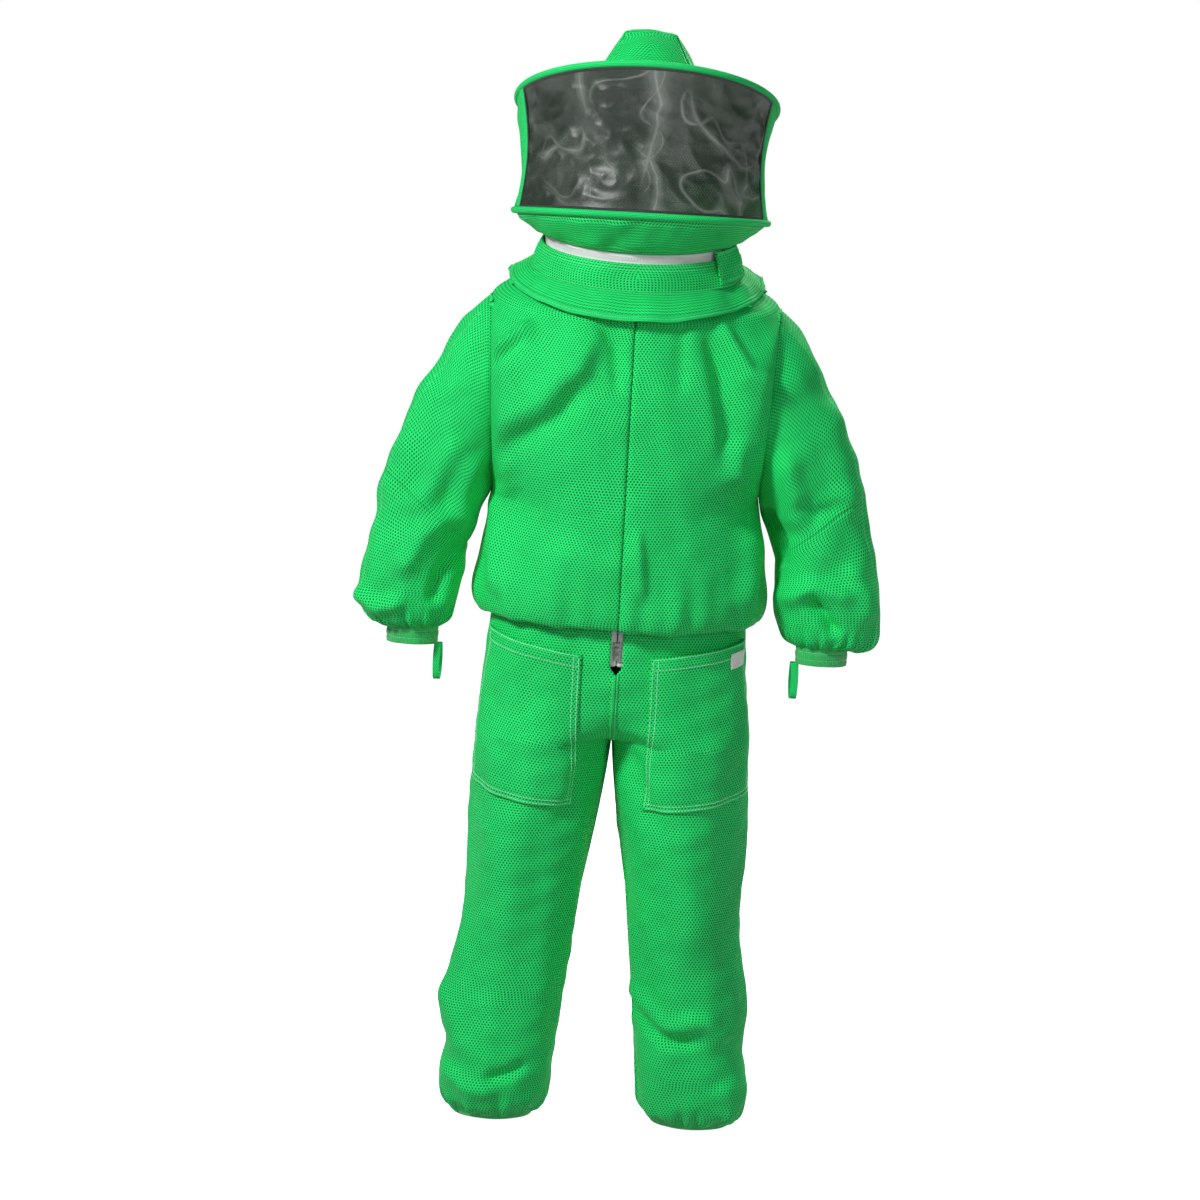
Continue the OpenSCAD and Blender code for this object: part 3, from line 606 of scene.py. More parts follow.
def stitches(name, seams, pitch=4.4, long=3.1, wide=1.0, high=0.5):
    """Rows of topstitching. A seam is (surface, side, us, vs): the row runs on the surface through
    those parameters. Each stitch is a flat bar that follows the cloth."""
    places = []
    for f, side, us, vs in seams:
        us, vs = np.broadcast_arrays(np.asarray(us, float), np.asarray(vs, float))
        p, n = f(us, vs), across(f, us, vs, side)
        run = lengths(p[None], 1)[0]
        at = np.arange(pitch / 2, run[-1] - pitch / 2, pitch)
        ahead = np.gradient(p, run, axis=0)
        c, up, go = (np.stack([np.interp(at, run, w[:, k]) for k in range(3)], 1) for w in (p, n, ahead))
        go /= np.linalg.norm(go, axis=1, keepdims=True)
        places.append(np.stack([c, go * long / 2, np.cross(up, go) * wide / 2, up]))
    centre, along, out, up = np.concatenate(places, 1)
    return bars(name, centre, along, out, up, (-SINK, high), 0.003)


def sew(name, seams, body, finish=THREAD, slot="mesh_cloth", **size):
    """Stitches that move as the cloth under them does."""
    wear(stitches(name, seams, **size), body, finish)


LINE = np.linspace(0, 1, 120)
HOOD_BEND = ("suit", "hood", (0, 0.150, 0.035), (0, 0.1114, 0.0837))

# %% [markdown]
# ## The hat
# The hat is a sewn dome on a wide stiffened brim. Four seams run up the dome and end in small pinches
# where its flat top begins. The brim's edge holds a sprung wire in a bias binding.

# %% Hat
def brim_point(r, phi, h):
    """r from the hat's axis, phi degrees from the front, h above the brim, on an axis that leans back."""
    y = -r * cosd(phi)
    return xyz(r * sind(phi), y * cosd(BRIM_TILT) + h * sind(BRIM_TILT),
               BRIM_Z - y * sind(BRIM_TILT) + h * cosd(BRIM_TILT))


def off_seam(phi, seams):
    """The angle from the nearest seam, in degrees."""
    return np.min([np.abs((phi - s + 180) % 360 - 180) for s in seams], axis=0)


CROWN_SEAMS = (50, 130, 230, 310)
CROWN = [(1, 0), (0.965, 0.2), (0.885, 0.4), (0.775, 0.58), (0.665, 0.74), (0.56, 0.87), (0.46, 0.955),
         (0.29, 0.99), (0.13, 1.0), (0, 1.0)]


def crown(u, v):
    """The crown: side panels that lean in to a small flat top. A seam is a groove with a ridge on each
    side, and its end is pinched into a corner at the top's edge. Panels are flatter between seams."""
    phi = 360 * u
    k = spline(CROWN, v * (len(CROWN) - 1))
    gap = off_seam(phi, CROWN_SEAMS)
    seam = 1.3 * bell((gap - 5.0) / 2.4) - 2.4 * bell(gap / 1.8)
    corner_at = bell((v - 0.64) / 0.10)
    flat = 1 - 0.05 * smooth(gap / 30) * smooth(v / 0.5)
    r = HEAD_R * k[..., 0] * flat + seam * (1 - v**3) * smooth((0.97 - v) / 0.1)
    r = r + corner_at * (5.0 * bell(gap / 12) - 7.0 * bell(gap / 3.4))
    p = brim_point(np.maximum(r, 0), phi, CROWN_H * k[..., 1] - 1)
    return p + xyz(0, 0, 1.6 * waves(p, 45, 3) * smooth((0.97 - v) / 0.3) * smooth(v / 0.3))


def brim_top(u, v):
    """The brim: a flat ring with rows of stitching pressed into it and a slight wave."""
    phi, r = 360 * u, mix(HEAD_R - 6, BRIM_R - BIND_R - 0.4, v)
    rows_in = 0.5 * np.cos(2 * np.pi * (r - HEAD_R) / 17.0) ** 12
    return brim_point(r, phi, 1.6 - rows_in + 0.7 * np.sin(np.radians(phi * 5)))


CROWN_ROWS = np.append(np.linspace(0, 0.985, 34), 0.9995)    # the last row closes the pole
hat = shell("hat_crown_cloth", crown, 144, CROWN_ROWS, CLOTH, 1, True)
wear(hat, "hood", GREEN, ["hat_crown"])
brim = shell("hat_brim_cloth", brim_top, 180, 48, CLOTH, -1, True)
wear(brim, "hood", GREEN, ["hat_brim"])
seams = [(crown, 1, (s + d) / 360, LINE * 0.66 + 0.02) for s in CROWN_SEAMS for d in (-4, 4)]
sew("crown_stitching", seams, "hood", pitch=4.0, long=2.8)


def sweatband(u, v):
    """The band inside the hat's opening, which curves a little inward at its top."""
    return brim_point(HEAD_R - 7.6 - 1.5 * v, 360 * u, mix(-2, 32, v))


wear(shell("hat_sweatband_cloth", sweatband, 96, 6, 2.2, 1, True), "hood", RIBBED,
     ["hat_sweatband"])


def binding(centre, name, body, stands_for):
    """A bias binding round a hoop: a tube, a little squashed, with a pressed edge and small puckers."""
    def radius(t, a):
        pucker = 0.25 * np.sin(2 * np.pi * t * 210) * (0.5 + 0.5 * np.cos(2 * np.pi * (a - 0.1)))
        edge = 0.7 * bell(((a - 0.78 + 0.5) % 1 - 0.5) / 0.03)
        return BIND_R - 0.5 + pucker + edge
    wear(tube(name, centre, 640, 16, radius), body, GREEN_FINE, stands_for)


binding(lambda t: brim_point(BRIM_R, 360 * t, 0), "brim_binding_cloth", "hood", ["brim_binding"])
binding(lambda t: xyz(RING_R * sind(360 * t), -RING_R * cosd(360 * t), RING_Z), "ring_binding_cloth",
        HOOD_BEND, ["ring_binding", "ring_wire"])
print("hat", len(hat.data.polygons), "faces")

# %% [markdown]
# ## The hood's wall
# The net is stretched between the two hoops across the front and creases where it was folded. Cloth
# closes the back, and a bound seam joins the two on each side.

# %% Veil and hood back
def wall(phi, v):
    """The hood's wall at phi degrees from the front: a line from the upper hoop to the lower one,
    drawn in by the veil's waist at its middle."""
    reach = BIND_R - 0.5
    a = brim_point(BRIM_R, phi, -reach)
    b = xyz(RING_R * sind(phi), -RING_R * cosd(phi), RING_Z + reach)
    k = 1 - VEIL_WAIST / RING_R * arch(v)
    return mix(a, b, v[..., None]) * xyz(k, k, 1.0)


def net_move(p, u, v):
    """Crinkles of the net: sharp-topped waves in several directions, flat at the sewn edges."""
    hold = fade(v, 0.12, 0.12) * fade(u, 0.05, 0.05)
    sharp = sum((1 - np.abs(waves(p, size, seed, 4))) * high
                for size, seed, high in ((95, 11, 3.2), (55, 12, 1.9), (34, 13, 1.1)))
    return hold * (sharp - 3.4)


def part_wall(left, right, high=0.0, low=1.0):
    """The part of the wall between two angles from the front and two steps down it."""
    def f(u, v):
        return wall(mix(left, right, u), mix(high, low, v))
    return f


def back_move(p, u, v):
    """Upright folds that fade at both hoops."""
    return (3.2 * waves(p * [1, 1, 0.25], 70, 21) + 1.2 * waves(p, 60, 22)) * fade(v, 0.2, 0.2)


veil = draped(part_wall(1 - VEIL_HALF, VEIL_HALF - 1), -1, net_move)
wear(shell("veil_net_cloth", veil, 200, 76, 0.5, -1), "hood", NET, ["veil_net"])
hood_rear = draped(part_wall(VEIL_HALF + 1, 359 - VEIL_HALF), -1, back_move)
wear(shell("hood_back_cloth", hood_rear, 130, 40, 2.2, -1), HOOD_BEND, GREEN, ["hood_back"])

SEAM_IN = VEIL_HALF - SEAM_HALF    # the seam's edge on the net's side, in degrees
for side, tag in SIDES:
    strip = draped(part_wall(side * SEAM_IN, side * (VEIL_HALF + SEAM_HALF)), -side,
                   lambda p, u, v: 1.4 + 1.1 * arch(u))
    wear(shell(f"veil_seam_{tag}_cloth", strip, 10, 60, 3.2, -side), HOOD_BEND, GREEN_FINE,
         [f"veil_seam_{tag}"])
    edge = lifted(part_wall(side * (SEAM_IN - 1.2), side * (SEAM_IN + 0.2)), -side, 0.8)
    wear(shell(f"net_edge_{tag}", edge, 3, 60, 1.2, -side), HOOD_BEND, BLACK)
for tag, high, low in (("upper", 0.0, 0.017), ("lower", 0.983, 1.0)):
    edge = lifted(part_wall(-VEIL_HALF, VEIL_HALF, high, low), -1, 0.9)
    wear(shell(f"net_edge_{tag}", edge, 120, 3, 1.4, -1), "hood", BLACK)

# %% [markdown]
# ## The neck
# Below the lower hoop a short skirt of cloth narrows to the neck zip. The two halves of the zip are
# white tapes with coils. The coils are hundreds of small loops, each a six-sided bar.

# %% Skirt and neck zip
def neck_point(r, phi, h):
    """r from the neck's axis, phi degrees from the front, h above the zip, on the sloping neck ring."""
    y = -r * cosd(phi)
    return xyz(r * sind(phi), y * cosd(NECK_TILT) - h * sind(NECK_TILT),
               y * sind(NECK_TILT) + h * cosd(NECK_TILT))


def skirt(u, v):
    """The skirt: straight from the hoop to the zip, but full in its middle."""
    phi = -360 * u
    top = xyz((RING_R - 2) * sind(phi), -(RING_R - 2) * cosd(phi), RING_Z - BIND_R + 2.5)
    return mix(top, neck_point(NECK_R + 4.5, phi, 8.0), v[..., None])


def skirt_move(p, u, v):
    """Fullness and slanting folds, flat at both seams."""
    return fade(v, 0.2, 0.3) * (4 + 2.6 * waves(p, 80, 31) + 1.2 * waves(p, 32, 32))


skirt_cloth = draped(skirt, 1, skirt_move)
wear(shell("hood_skirt_cloth", skirt_cloth, 220, 22, 3, 1, True), HOOD_BEND, GREEN,
     ["hood_skirt"])
turns = np.linspace(0, 1, 500)
sew("skirt_stitching", [(skirt_cloth, 1, turns, v) for v in (0.84, 0.94, 0.09)], HOOD_BEND)


def tape_band(low, high):
    """A band of tape round the neck from low to high beside the zip's middle, slightly domed."""
    def f(u, v):
        sway = 0.5 * sind(360 * u * 7)
        return neck_point(NECK_R + 1.4 + 0.5 * arch(v), 360 * u, mix(low, high, v) + sway)
    return f


def loops(name, place, count, size):
    """The loops of a zip's coil: bars of that size (along, across, thick) at place(t), which gives
    points, the direction of travel and the way out."""
    t = (np.arange(count) + 0.5) / count
    c, go, out = place(t)
    wide = np.cross(out, go)
    lean = go + 0.25 * wide
    long, broad, thick = np.array(size) / 2
    return bars(name, c, lean * long, wide * broad, out, (-thick, thick), 0.002)


def round_neck(h):
    """Places round the neck zip at height h."""
    def place(t):
        phi = 360 * t
        c = neck_point(NECK_R + 1.6, phi, h)
        go = neck_point(NECK_R, phi + 0.1, h) - neck_point(NECK_R, phi - 0.1, h)
        go /= np.linalg.norm(go, axis=1, keepdims=True)
        out = neck_point(1.0, phi, 0) - neck_point(0.0, phi, 0)
        return c, go, out
    return place


for tag, sign, body in (("upper", 1, HOOD_BEND), ("lower", -1, "suit")):
    low, high = sorted((sign * TAPE_NEAR, sign * TAPE_FAR))
    wear(shell(f"neck_tape_{tag}", tape_band(low, high), 240, 5, 1.0, 1, True), body, TAPE,
         [f"neck_zip_{tag}_tape"])
    wear(loops(f"neck_coil_{tag}", round_neck(sign * 1.5), 400, (1.75, 3.0, 1.8)), body, COIL,
         [f"neck_zip_{tag}_coil"])

# %% [markdown]
# ## The collar
# The stand is a band of cloth with a stitched top edge, and the cape falls from it over the shoulders
# to a doubled, piped hem. Both crumple a little near the end of the zip.

# %% Collar
def stand_point(phi, h, out):
    """A place on the cone of the collar's stand, out from it."""
    return neck_point(mix(STAND_R0, STAND_R1, (STAND_TOP - h) / STAND_H) + out, phi, h)


def stand(u, v):
    """The stand: a cone from the zip's tape down to the cape's seam."""
    return stand_point(360 * u, mix(STAND_TOP + 1.5, STAND_BOT, v), 4)


def stand_move(p, u, v):
    """Shallow waves, fuller below, and a crumple beside the zip's end."""
    near = bell((360 * u - PARK) / 26)
    return (1.6 + 1.8 * near) * waves(p, 62, 41) * smooth(v / 0.35) + 2.2 * arch(v)


def cape_edge(phi):
    """The cape's hem: an oval that drops further at the front."""
    p = neck_point(STAND_R1 + 38, phi, STAND_BOT - 17)
    front = (1 + cosd(phi)) / 2
    return p * [1, 0.97, 1] + xyz(0, 0, -20 * front**2 + 4 * sind(phi) ** 2)


def cape(u, v):
    """The cape: from the stand's foot to its hem, a little full between."""
    phi = 360 * u
    p = mix(neck_point(STAND_R1 + 4, phi, STAND_BOT + 0.6), cape_edge(phi), v[..., None])
    return p + xyz(0, 0, 5 * arch(v))


def cape_move(p, u, v):
    """Waves that grow towards the hem, and two or three folds near the wearer's left shoulder."""
    turn = 360 * u - PARK
    bunch = 3.4 * bell(turn / 22) * np.sin(np.radians(turn * 14) + 2.0 * v)
    return (1.4 + 0.8 * v) * waves(p, 70, 42) * smooth(v / 0.2) + bunch * smooth(v / 0.3)


stand_cloth = draped(stand, -1, stand_move)
cape_cloth = draped(cape, -1, cape_move)
wear(shell("collar_stand_cloth", stand_cloth, 220, 20, CLOTH, -1, True), "suit", GREEN,
     ["collar_stand"])
short_cape = shell("collar_cape_cloth", lambda u, v: cape_cloth(u, v * 0.84), 240, 22, CLOTH, -1, True)
wear(short_cape, "suit", GREEN, ["collar_cape"])


def cape_piping(u, v):
    """The hem's binding: two rounded rolls side by side."""
    low = mix(0.82, 1.0, v)
    rolls = 1.7 * np.abs(np.sin(2 * np.pi * np.clip(v, 0, 1)))
    return cape_cloth(u, low) + across(cape_cloth, u, low, -1) * (0.4 + rolls)[..., None]


wear(shell("collar_piping_cloth", cape_piping, 300, 16, 4.2, -1, True), "suit", GREEN_FINE,
     ["collar_piping"])
turns = np.linspace(0, 1, 600)
seams = [(stand_cloth, -1, turns, v) for v in (0.12, 0.24, 0.96)] + [(cape_piping, -1, turns, 0.5)]
sew("collar_stitching", seams, "suit")

# %% [markdown]
# ### The zip's flap
# A crumpled flap closes over the end of the hood's zip. Hook and loop patches lie under it.

# %% Flap
def on_stand(half, top, bottom):
    """A patch of the collar stand's surface, half degrees wide each way from the zip's end."""
    def f(u, v):
        return stand_point(PARK + mix(-half, half, u), mix(top, bottom, v), 5)
    return f


flap = draped(on_stand(14, 7, -40), -1,
              lambda p, u, v: 7.2 + 1.6 * waves(p, 30, 51) + 1.2 * waves(p, 15, 52))
wear(shell("zip_flap_cloth", flap, 44, 34, 3, -1), "flap", GREEN, ["zip_flap"])
inset, between = (0.07, 0.93), LINE * 0.86 + 0.07
seams = [(flap, -1, between, k) for k in inset] + [(flap, -1, k, between) for k in inset]
sew("flap_stitching", seams, "flap", pitch=3.6, long=2.6)
for node, lift, body, finish in (("flap_hook_patch", 2.6, "flap", HOOKS),
                                 ("flap_loop_patch", 1.6, "suit", LOOPS)):
    pile = draped(on_stand(11, -9, -32), -1, lambda p, u, v, lift=lift: lift + 0.25 * waves(p, 2.4, 53))
    wear(shell(f"{node}_pile", pile, 60, 30, 1.0, -1), body, finish, [node])

# %% [markdown]
# ## The blouse
# Two fronts meet at the hidden zip and one back joins them at the shoulders and sides. Its keys run
# down the outer edge: neckline, shoulder, armhole, side and lip. The lip rolls under over the waist.

# %% Blouse shape
def blouse_keys(depth, sign, neck_side):
    """Rows of the outer edge's x, y and z and the centre line's y and z."""
    s = neck_point(np.float64(STAND_R1), 90.0, STAND_BOT - 5.0)
    c = neck_point(np.float64(STAND_R1), neck_side, STAND_BOT - 5.0)
    w, z, h, d, t = SHOULDER_W, ARM_TOP, ARM_H, ARM_D, ARM_TUCK
    deep, low, last = sign * depth, z - h, CENTRE_Z[3]
    return np.array([
        [s[0], s[1], s[2], c[1], c[2]],
        [mix(s[0], w, 0.4), s[1] / 2, mix(s[2], z, 0.32), mix(c[1], deep, 0.25), c[2] - 31],
        [w, 0, z, mix(c[1], deep, 0.5), CENTRE_Z[0]],
        [w, sign * d * 0.77, z - 0.18 * h, mix(c[1], deep, 0.8), CENTRE_Z[1]],
        [w, sign * d, z - 0.5 * h, deep, CENTRE_Z[2]],
        [w, sign * d * 0.72, z - 0.85 * h, deep, last],
        [w - t, 0, low, deep, mix(last, LIP_Z, 0.3)],
        [mix(w - t, BLOUSE_W, 0.65), 0, mix(low, LIP_Z, 0.42), deep, mix(last, LIP_Z, 0.6)],
        [BLOUSE_W, 0, mix(low, LIP_Z, 0.78), deep + sign * 2, mix(last, LIP_Z, 0.85)],
        [BLOUSE_W - 7, 0, LIP_Z + LIP_ROLL + 8, deep - sign * 5, LIP_Z + LIP_ROLL],
        [WAIST_W + 10, 0, LIP_Z + LIP_ROLL + 3, sign * (WAIST_D + 17), LIP_Z + LIP_ROLL - 6]])


def blouse(keys, u, v):
    """A quarter round of the blouse: an ellipse from the centre line (u = 0) to the edge (u = 1). The
    edge keeps to the middle plane on the shoulder and the side, and to one plane round the armhole."""
    s = v * (len(keys) - 1)
    k = spline(keys, s)
    a = 90 * u
    on_arm = (s >= 2) & (s <= 6)
    down = np.clip((ARM_TOP - k[..., 2]) / ARM_H, 0, 1)
    x = np.where(on_arm, SHOULDER_W - ARM_TUCK * down, k[..., 0])
    oval = np.sign(keys[4][1]) * ARM_D * np.sqrt(1 - (2 * down - 1) ** 2)
    held = mix(k[..., 1], oval, np.clip(u, 0, 1) ** 8)
    y = np.where(s < 2, keys[0][1] * (1 - s / 2), np.where(s > 6, 0, held))
    return xyz(x * sind(a), mix(y, k[..., 3], cosd(a)), mix(k[..., 4], k[..., 2], 1 - cosd(a)))


FRONT_KEYS, BACK_KEYS = blouse_keys(BELLY, -1, 0.0), blouse_keys(BACK_D, 1, 180.0)

# %% [markdown]
# The folds of the front start under the collar and run towards the underarms, where the weight of the
# sleeves pulls. Each row is a line of (x, z) points, its width before and after, and its height.

# %% Blouse folds
FRONT_FOLDS = [
    ([(-232, -196), (-190, -166), (-148, -126)], 7, 15, 7),
    ([(-234, -214), (-196, -186), (-158, -150)], 10, 8, -5),
    ([(-45, -112), (-78, -196), (-130, -262), (-238, -334)], 16, 38, 10),
    ([(-70, -200), (-112, -262), (-205, -322)], 22, 16, -6),
    ([(-66, -112), (-30, -160), (-20, -245)], 13, 9, -3.5),
    ([(70, -112), (76, -240)], 10, 14, -3),
    ([(108, -108), (132, -190), (150, -275), (152, -352)], 26, 15, -8),
    ([(116, -104), (176, -192), (246, -222)], 12, 20, 8),
    ([(166, -284), (168, -345), (214, -380)], 15, 18, 6),
    ([(170, -378), (205, -350), (246, -324)], 9, 12, -7),
    ([(-226, -140), (-219, -200), (-212, -262)], 9, 12, -7),
    ([(-190, -330), (-175, -380), (-205, -440)], 14, 18, 4),
    ([(20, -425), (27, -490), (36, -552)], 7, 12, 4),
    ([(-193, -400), (-198, -480), (-190, -568)], 18, 14, 6),
    ([(192, -420), (198, -500), (186, -572)], 15, 17, 6),
    ([(-120, -470), (-20, -500), (60, -470)], 30, 34, 3)]
BACK_FOLDS = [
    ([(-150, -105), (-122, -220), (-90, -340)], 24, 20, 6),
    ([(150, -105), (118, -215), (95, -330)], 20, 24, 6),
    ([(0, -120), (8, -320)], 26, 26, -4),
    ([(-215, -300), (-150, -340), (-70, -345)], 16, 20, 5),
    ([(215, -310), (150, -345), (80, -352)], 20, 16, 5),
    ([(-180, -520), (0, -545), (180, -522)], 16, 24, 6),
    ([(-140, -455), (20, -478), (160, -450)], 14, 20, -5)]


def blouse_move(p, u, v):
    """Folds of front and back, slow waves, the lip's ripples and a pressed edge at the centre front."""
    out = 2.2 * (folds(p, FRONT_FOLDS, -1) + folds(p, BACK_FOLDS, 1))
    out = out + (2.4 * waves(p, 130, 61) + 0.9 * waves(p, 48, 62)) * smooth((-85 - p[..., 2]) / 40)
    turn = np.arctan2(p[..., 1], p[..., 0])
    low = smooth((-455 - p[..., 2]) / 110) * smooth((p[..., 2] - LIP_Z + 6) / 30)
    ripples = 1.6 * np.sin(turn * 17 + 1.3) + 1.3 * np.sin(turn * 29 + 0.4) + np.sin(turn * 11)
    edge = bell(p[..., 0] / 3.2) * (p[..., 1] < 0)
    seam_x = SHOULDER_W - ARM_TUCK * (ARM_TOP - p[..., 2]) / ARM_H
    held = smooth((seam_x - np.abs(p[..., 0])) / 22) + smooth((ARM_TOP - ARM_H + 30 - p[..., 2]) / 30)
    out = (out + low * ripples) * np.minimum(held, 1) * smooth((1.01 - v) / 0.03)
    return out - 1.8 * edge - 2.0 * smooth((0.06 - v) / 0.06)


def half_front(side):
    """One front, on the wearer's left (1) or right (-1)."""
    def f(u, v):
        return blouse(FRONT_KEYS, u, v) * [side, 1, 1] + [0.45 * side, 0, 0]
    return draped(f, -side, blouse_move)


def whole_back(u, v):
    """The back, from the wearer's right side to the left."""
    w = 2 * u - 1
    return blouse(BACK_KEYS, np.abs(w), v) * xyz(np.sign(w), 1.0, 1.0)


for side, tag in SIDES:
    wear(shell(f"front_{tag}_cloth", half_front(side), 72, 160, CLOTH, -side), "suit", GREEN,
         [f"front_{tag}"])
back = draped(whole_back, 1, blouse_move)
wear(shell("back_cloth", back, 128, 150, CLOTH, 1), "suit", GREEN, ["back_panel"])

# %% [markdown]
# ## The sleeves
# A balloon sleeve is one tube from the armhole to the cuff. It bends at the elbow in the model, so it
# is made in two pieces that meet there.

# %% Sleeve shape
def sleeve_keys():
    """Rows of the outer edge's x and z, the inner edge's x and z, the half depth and the centre's y."""
    w, bot, e, c, x, d, t = SHOULDER_W, ARM_TOP - ARM_H, ELBOW_Z, CUFF_Z, WRIST_X, ARM_D, ARM_TUCK
    top, rim = ARM_TOP, WRIST_R + BAND_T + 0.4
    return np.array([
        [w, top, w - t, bot, d, 0],
        [w + 42, mix(top, e, 0.15), w - t + 6, bot - 18, d, -1],
        [w + 80, mix(top, e, 0.4), w - t + 16, bot - 42, d * 0.94, -3],
        [w + 115, mix(top, e, 0.7), w - t + 24, bot - 68, d * 0.88, -5],
        [w + 145, e, w - t + 32, bot - 95, d * 0.83, -8],
        [x + 73, mix(e, c, 0.38), x - 79, mix(bot - 95, c, 0.2), d * 0.79, -12],
        [x + 85, mix(e, c, 0.66), x - 77, mix(bot - 95, c, 0.48), d * 0.76, -16],
        [x + 86, mix(e, c, 0.86), x - 70, mix(bot - 95, c, 0.75), d * 0.7, -19],
        [x + 74, mix(e, c, 0.97), x - 60, c + 10, d * 0.58, WRIST_Y],
        [x + rim, c - 2, x - rim, c - 2, rim, WRIST_Y]])


SLEEVE = sleeve_keys()
ELBOW = 4.0
ARM_FOLDS = {
    1: [([(212, -392), (236, -440), (250, -492)], 9, 14, -9),
        ([(252, -384), (292, -404), (345, -384)], 12, 16, -4),
        ([(282, -528), (318, -556), (342, -592)], 8, 14, -8),
        ([(240, -548), (300, -516), (372, -532)], 14, 16, 6),
        ([(236, -300), (262, -380), (268, -440)], 16, 20, 7),
        ([(300, -220), (330, -320), (352, -420)], 26, 22, 5),
        ([(345, -470), (372, -520), (385, -580)], 18, 14, 5)],
    -1: [([(-246, -300), (-292, -384), (-330, -452)], 22, 20, 5),
         ([(-224, -330), (-250, -400), (-256, -470)], 12, 16, 6),
         ([(-262, -420), (-306, -470), (-344, -540)], 14, 20, 6),
         ([(-238, -470), (-276, -528), (-290, -585)], 12, 12, -6),
         ([(-414, -560), (-372, -584), (-322, -572)], 12, 12, 6),
         ([(-300, -200), (-345, -330), (-372, -450)], 24, 26, 4)]}


def sleeve(side, first, last):
    """The sleeve between two of its keys. It starts a little inside the armhole, as a seam does, and
    its fullness gathers into the cuff in small pleats."""
    def f(u, v):
        s = mix(first, last, v)
        k = spline(SLEEVE, np.maximum(s, 0))
        a = 360 * u + 180
        tuck = 1 - 0.022 * bell(s / 0.13)
        cx, cz = (k[..., 0] + k[..., 2]) / 2, (k[..., 1] + k[..., 3]) / 2
        x = cx + (k[..., 0] - k[..., 2]) / 2 * cosd(a) * tuck - 3.0 * bell(s / 0.1)
        z = cz + (k[..., 1] - k[..., 3]) / 2 * cosd(a) * tuck
        return xyz(x * side, k[..., 5] + k[..., 4] * sind(a) * tuck, z)

    def move(p, u, v):
        s, turn = mix(first, last, v), 2 * np.pi * u
        calm = smooth(s / 0.5) * smooth((9 - s) / 0.5)
        out = (2.8 * waves(p, 110, 71 + side) + 1.3 * waves(p, 46, 75 + side)) * calm
        fore, rear = folds(p, ARM_FOLDS[side], -1), folds(p * [-1, 1, 1], ARM_FOLDS[-side], 1)
        out = out + (2.6 * fore + 2.2 * rear) * calm
        pleats = np.sin(turn * 19 + 1.5 * np.sin(turn * 3)) + 0.5 * np.sin(turn * 31 + side)
        return out + 2.6 * pleats * smooth((s - 6.6) / 1.7) * (1 - 0.55 * smooth((s - 8.4) / 0.6))
    return draped(f, -side, move)


for side, tag in SIDES:
    upper, lower = sleeve(side, 0.0, ELBOW), sleeve(side, ELBOW, 9.0)
    shoulder = ("suit", f"upper_arm_{tag}", (side * 0.214, 0, -0.239), (side * 0.2514, 0, -0.2412))
    elbow = (f"upper_arm_{tag}", f"forearm_{tag}", (side * 0.3026, -0.008, -0.4275),
             (side * 0.3591, -0.008, -0.4975))
    arm = shell(f"sleeve_{tag}_cloth", upper, 144, 64, CLOTH - 0.6, -side, True)
    wear(arm, shoulder, GREEN, [f"sleeve_{tag}"])
    fore = shell(f"forearm_{tag}_cloth", lower, 144, 84, CLOTH - 0.6, -side, True, start=arm["cut"][1] * 1000)
    wear(fore, elbow, GREEN, [f"forearm_{tag}"])
    spot = 0.5 - 28 / 360    # the sleeve's long seam, 28 degrees in front of its outer edge
    for part, f, body, ends in (("sleeve", upper, shoulder, (0.12, 1)), ("forearm", lower, elbow, (0, 0.86))):
        seams = [(f, -side, spot + d, np.linspace(*ends, 160)) for d in (0, 0.006)]
        sew(f"{part}_{tag}_stitching", seams, body)

# %% [markdown]
# ### Cuffs, ankle bands and thumb loops
# An elastic band pulls each cuff into fine ribs. A strap makes a loop under each cuff for the thumb.

# %% Bands
BAND_SEWN = (0.32, 0.7)    # where the two rows of stitches run round a band


def ribbed_band(cx, cy, top, r, height, ribs, seed):
    """A ribbed tube: small ribs all round, squeezed a little by two rows of stitches."""
    def f(u, v):
        rib = 0.55 * np.abs(np.sin(np.pi * ribs * u)) + 0.5 * np.sin(2 * np.pi * 7 * u + seed)
        pinch = sum(bell((v - row) / 0.05) for row in BAND_SEWN)
        rr = r + rib - 0.9 * pinch + arch(v)
        return xyz(cx + rr * cosd(360 * u), cy + rr * sind(360 * u), top - height * v)
    return f


